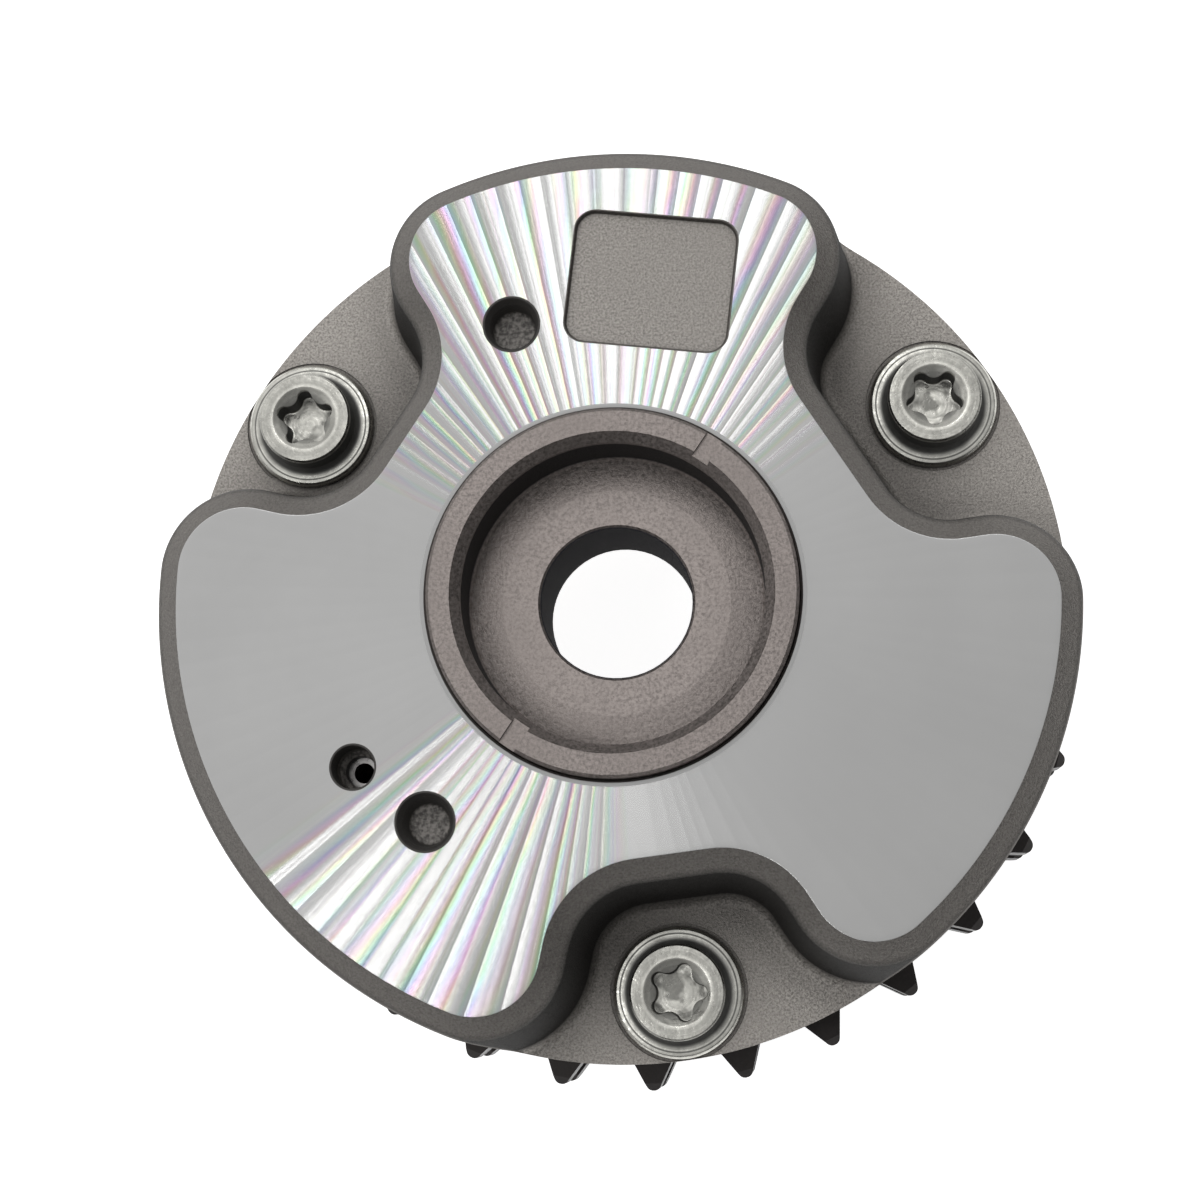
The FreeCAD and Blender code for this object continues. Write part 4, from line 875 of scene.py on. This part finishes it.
def sintered_finish(looks, housing, bolt_bore=0.00745, pocket=0.01465):
    """Sintered steel: small pores, turning marks and a warm grey.

    The pocket's wall and the bolt's bore are painted near black as shade.
    """
    made = Finish("sintered_steel")
    spot, _, _, z, far, _ = made.places()
    face = housing.face_height
    pores = made.noise(spot, 3000.0, 4.0, 0.72)
    rings = made.noise(made.vector(made.times(far, 3600.0), 0.0, made.times(z, 3600.0)), 1.0)
    tone = made.grained(pores, 0.36, 0.62, looks.sintered, 0.58, 1.28)
    tone = made.mix(made.spread(made.noise(spot, 140.0), 0.0, 0.4, 0.4, 0.65), tone,
                    rgba(looks.sintered, 0.85))
    # Painted shade: the bolt's bore turns near black
    bore = made.fall(far, bolt_bore + 0.00005, bolt_bore + 0.00019)
    tone = made.mix(bore, tone, (0.010, 0.010, 0.016, 1))
    # Painted shade: the pocket's wall turns near black
    wall = made.times(made.rise(far, pocket - 0.00018, pocket - 0.00003),
                      made.fall(far, pocket + 0.00003, pocket + 0.00015))
    wall = made.times(wall, made.fall(z, face - 0.0004, face + 0.0002))
    tone = made.mix(made.times(wall, 0.96), tone, (0.008, 0.007, 0.007, 1))
    end = made.spread(z, 1.0, 0.87, face - 0.0003, face + 0.0003)
    tone = made.along("MULTIPLY", tone, made.vector(end, end, end))
    rough = made.bump(rings, 0.3, 0.00004)
    rough = made.bump(pores, 0.5, 0.0001, rough)
    dull = made.most(bore, wall)
    return made.set(Base_Color=tone, Metallic=made.rest(dull), Normal=rough,
                    Roughness=made.most(made.spread(pores, 0.36, 0.56, 0.3, 0.7),
                                        made.times(dull, 0.8)))


def plated_finish(looks, screws):
    """Satin zinc on the screws: turning rings, soft stains and small dents.

    The sides of the head and of its socket, and a line on the flange, are painted dark as shade;
    their floors are bright, and the head's end is dulled by fine grit.
    """
    made = Finish("plated_steel")
    spot, _, _, z, _, _ = made.places()
    top = screws.seat_height + screws.head_height
    floor = top - screws.socket_depth
    dish, head = screws.dish_radius, screws.head_radius
    zinc = looks.plated
    ring = made.node("ShaderNodeAttribute", attribute_name="ring").outputs["Fac"]
    turning = made.noise(made.vector(made.times(ring, 4200.0)), 1.0)
    stain = made.noise(spot, 420.0, 4.0, 0.6)
    dents = made.noise(spot, 1900.0)
    tone = made.grained(stain, 0.36, 0.66, zinc, 0.66, 1.12)
    tone = made.mix(made.spread(turning, 0.5, 0.0, 0.35, 0.6), tone, rgba(zinc, 0.45))
    bands = made.noise(made.vector(made.times(ring, 1700.0)), 1.0, 2.0)
    tone = made.mix(made.spread(bands, 0.5, 0.0, 0.38, 0.58), tone, rgba(zinc, 0.5))

    # Grit on the head's end, outside the dish
    crown = made.times(made.rise(z, top - 0.00045, top - 0.00015),
                       made.rise(ring, dish + 0.00015, dish + 0.00035))
    grit = made.spread(made.noise(spot, 3200.0, 3.0, 0.7), 1.0, 0.45, 0.38, 0.62)
    tone = made.mix(made.times(made.times(crown, grit), 0.62), tone, rgba(zinc, 0.36))

    # Rubbed spots on the socket's floor
    inner = made.times(made.fall(ring, dish - 0.0004, dish - 0.0002),
                       made.fall(z, floor + 0.00005, floor + 0.00025))
    rubbed = made.spread(made.noise(spot, 600.0, 2.0), 0.85, 0.0, 0.42, 0.55)
    tone = made.mix(made.times(inner, rubbed), tone, rgba(zinc, 0.22))

    # Painted shade round the neck and on the socket's wall, and a painted dark line for a groove in
    # the flange
    neck = made.times(made.rise(ring, head - 0.00069, head - 0.00049),
                      made.fall(ring, head + 0.00041, head + 0.00091))
    side = made.most(neck, made.rise(z, floor + 0.00005, floor + 0.0002))
    side = made.times(side, made.fall(z, top - 0.0008, top - 0.00025))
    groove = made.maths("ABSOLUTE", made.plus(ring, 0.00069 - screws.flange_radius))
    side = made.most(side, made.spread(groove, 0.75, 0.0, 0.00003, 0.00012))
    tone = made.mix(made.times(side, 0.88), tone, (0.012, 0.012, 0.012, 1))

    rough = made.bump(turning, 0.35, 0.00004)
    rough = made.bump(stain, 0.3, 0.00012, rough)
    rough = made.bump(dents, 0.4, 0.00006, rough)
    return made.set(Base_Color=tone, Metallic=made.rest(side), Normal=rough,
                    Roughness=made.most(made.spread(dents, 0.22, 0.42, 0.3, 0.7),
                                        made.times(side, 0.7)))


def plain_metal(name, tint, low, high, scale=1200.0, metallic=1.0):
    """A metal with one grain that drives its tone, roughness and bump."""
    made = Finish(name)
    grain = made.noise(made.places()[0], scale, 4.0, 0.6)
    return made.set(Base_Color=made.grained(grain, 0.35, 0.65, tint, 0.75, 1.15),
                    Metallic=metallic, Normal=made.bump(grain, 0.3, 0.00006),
                    Roughness=made.spread(grain, low, high, 0.3, 0.7))


def white_floor():
    """A pale floor that keeps the soft shadow and shows as the page behind the object."""
    made = Finish("pale_floor")
    path = made.node("ShaderNodeLightPath").outputs
    seen = made.most(path["Is Camera Ray"],
                     made.most(path["Is Glossy Ray"], path["Is Transmission Ray"]))
    return made.set(Base_Color=(0.86, 0.86, 0.86, 1), Roughness=0.8,
                    Emission_Color=(1, 1, 1, 1), Emission_Strength=made.times(seen, 0.93))


def even_light(sizes):
    """A sky that is brighter overhead, to the left and on the far side, and never dark.

    Its strength is the rise from horizon to zenith, times one plus a share of each direction.
    """
    world = bpy.data.worlds.new("even_light")
    world.use_nodes = True
    made = Tree(world.node_tree)
    way = made.node("ShaderNodeTexCoord").outputs["Generated"]
    x, y, z = made.node("ShaderNodeSeparateXYZ", {0: way}).outputs[:3]
    share = made.plus(made.times(x, -sizes.sideways), 1.0)
    share = made.plus(made.times(y, sizes.backwards), share)
    share = made.most(share, sizes.least)
    sky = world.node_tree.nodes["Background"].inputs
    made.join(made.times(made.spread(z, sizes.horizon, sizes.zenith), share), sky["Strength"])
    sky["Color"].default_value = (1, 1, 1, 1)
    return world


# Operators

class PHASER_OT_housing(bpy.types.Operator):
    """Build the housing's skin and put it in the place of its solid"""

    bl_idname = "phaser.housing"
    bl_label = "Housing"

    def execute(self, context):
        looks = context.scene.phaser_finishes
        sizes = context.scene.phaser_housing
        materials = [turned_finish(looks, sizes), cast_finish(looks, sizes), bored_finish(looks),
                     hole_finish(looks, sizes), side_finish(looks, sizes)]
        item = housing_skin(sizes).piece("housing_skin", materials)
        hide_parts("housing")
        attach(item, "stator")
        return {"FINISHED"}


class PHASER_OT_screws(bpy.types.Operator):
    """Build the three flanged screws in the place of their solids"""

    bl_idname = "phaser.screws"
    bl_label = "Screws"

    def execute(self, context):
        housing = context.scene.phaser_housing
        sizes = context.scene.phaser_screws
        plated = plated_finish(context.scene.phaser_finishes, sizes)
        for number, way, turn in ((1, housing.screw_one, sizes.turn_one),
                                  (2, housing.screw_two, sizes.turn_two),
                                  (3, housing.screw_three, sizes.turn_three)):
            place = housing.screw_circle * directions(way)
            item = screw_skin(sizes, place, turn).piece("flanged_screw_%d" % number, [plated])
            keep_radius(item.data, place)
            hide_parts("screw_%d" % number)
            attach(item, "stator")
        return {"FINISHED"}


class PHASER_OT_finishes(bpy.types.Operator):
    """Give every CAD node its metal or plastic"""

    bl_idname = "phaser.finishes"
    bl_label = "Finishes"

    def execute(self, context):
        looks = context.scene.phaser_finishes
        ground = plain_metal("ground_steel", looks.ground, 0.22, 0.36)
        spring = plain_metal("spring_steel", looks.spring, 0.25, 0.4)
        seal = plain_metal("seal_plastic", looks.seal, 0.5, 0.7, 1800.0, 0.0)
        sprocket = plain_metal("oiled_steel", looks.sprocket, 0.32, 0.5, 900.0, 0.85)
        sintered = sintered_finish(looks, context.scene.phaser_housing)
        named = {"rotor": sintered, "sprocket": sprocket, "seal": seal, "spring": spring}
        for node, solid in NODES.items():
            found = [finish for word, finish in named.items() if word in node]
            solid.data.materials.clear()
            solid.data.materials.append((found or [ground])[0])
        return {"FINISHED"}


class PHASER_OT_studio(bpy.types.Operator):
    """Build the floor, the even light, the lamps and the camera"""

    bl_idname = "phaser.studio"
    bl_label = "Studio"

    def execute(self, context):
        sizes = context.scene.phaser_studio
        scene = context.scene
        corners = sizes.floor_size / 2 * np.array([(-1, -1), (1, -1), (1, 1), (-1, 1)])
        corners = np.vstack([raised(corners, 0.0), raised(corners, sizes.edge_height)])
        mesh = bpy.data.meshes.new("floor")
        mesh.from_pydata(corners.tolist(), [], [(0, 1, 2, 3), (0, 4, 5, 1), (1, 5, 6, 2),
                                                (2, 6, 7, 3), (3, 7, 4, 0)])
        mesh.materials.append(white_floor())
        floor = bpy.data.objects.new("floor", mesh)
        scene.collection.objects.link(floor)

        scene.world = even_light(sizes)
        for name, power, spot, width, depth in (
                ("key_lamp", sizes.key, (-0.031, 0.20, 0.41), 0.065, 0.16),
                ("second_lamp", sizes.second, (-0.124, -0.072, 0.42), 0.012, 0.12)):
            light = bpy.data.lights.new(name, "AREA")
            light.shape = "RECTANGLE"
            light.size, light.size_y = width, depth
            light.energy = power
            lamp = bpy.data.objects.new(name, light)
            back = np.array(spot) / np.linalg.norm(spot)
            side = np.cross((0, 0, 1), back)
            side /= np.linalg.norm(side)
            rows = np.column_stack([side, np.cross(back, side), back])
            lamp.matrix_world = Matrix.Translation(spot) @ Matrix(rows.tolist()).to_4x4()
            scene.collection.objects.link(lamp)

        data = bpy.data.cameras.new("camera")
        data.sensor_width = 36
        data.lens = sizes.lens
        data.clip_start, data.clip_end = 0.01, 50
        camera = bpy.data.objects.new("camera", data)
        # Its axes, worked out from the rounds seen in the picture
        turn = Matrix(((0.99663, 0.01367, 0.08086), (0.0, 0.98600, -0.16672),
                       (-0.08201, 0.16616, 0.98268)))
        camera.matrix_world = Matrix.Translation(sizes.eye) @ turn.to_4x4()
        scene.collection.objects.link(camera)
        scene.camera = camera
        scene.view_settings.view_transform = "Standard"
        return {"FINISHED"}


class PHASER_PT_panel(bpy.types.Panel):
    """Sizes and steps of the camshaft phaser"""

    bl_idname = "PHASER_PT_panel"
    bl_label = "Phaser"
    bl_space_type = "VIEW_3D"
    bl_region_type = "UI"
    bl_category = "Phaser"

    def draw(self, context):
        layout = self.layout
        scene = context.scene
        for operator, group in (("phaser.housing", scene.phaser_housing),
                                ("phaser.screws", scene.phaser_screws),
                                ("phaser.finishes", scene.phaser_finishes),
                                ("phaser.studio", scene.phaser_studio)):
            layout.operator(operator)
            box = layout.box()
            for key in group.__annotations__:
                box.prop(group, key)


GROUPS = (("phaser_housing", HousingSizes), ("phaser_screws", ScrewSizes),
          ("phaser_finishes", Finishes), ("phaser_studio", StudioSizes))
CLASSES = (PHASER_OT_housing, PHASER_OT_screws, PHASER_OT_finishes, PHASER_OT_studio,
           PHASER_PT_panel)


def register():
    for key, group in GROUPS:
        bpy.utils.register_class(group)
        setattr(bpy.types.Scene, key, PointerProperty(type=group))
    for item in CLASSES:
        bpy.utils.register_class(item)


def unregister():
    for item in reversed(CLASSES):
        bpy.utils.unregister_class(item)
    for key, group in reversed(GROUPS):
        delattr(bpy.types.Scene, key)
        bpy.utils.unregister_class(group)


def main():
    register()
    bpy.ops.phaser.studio()
    bpy.ops.phaser.housing()
    bpy.ops.phaser.screws()
    bpy.ops.phaser.finishes()


if __name__ == "__main__":
    main()
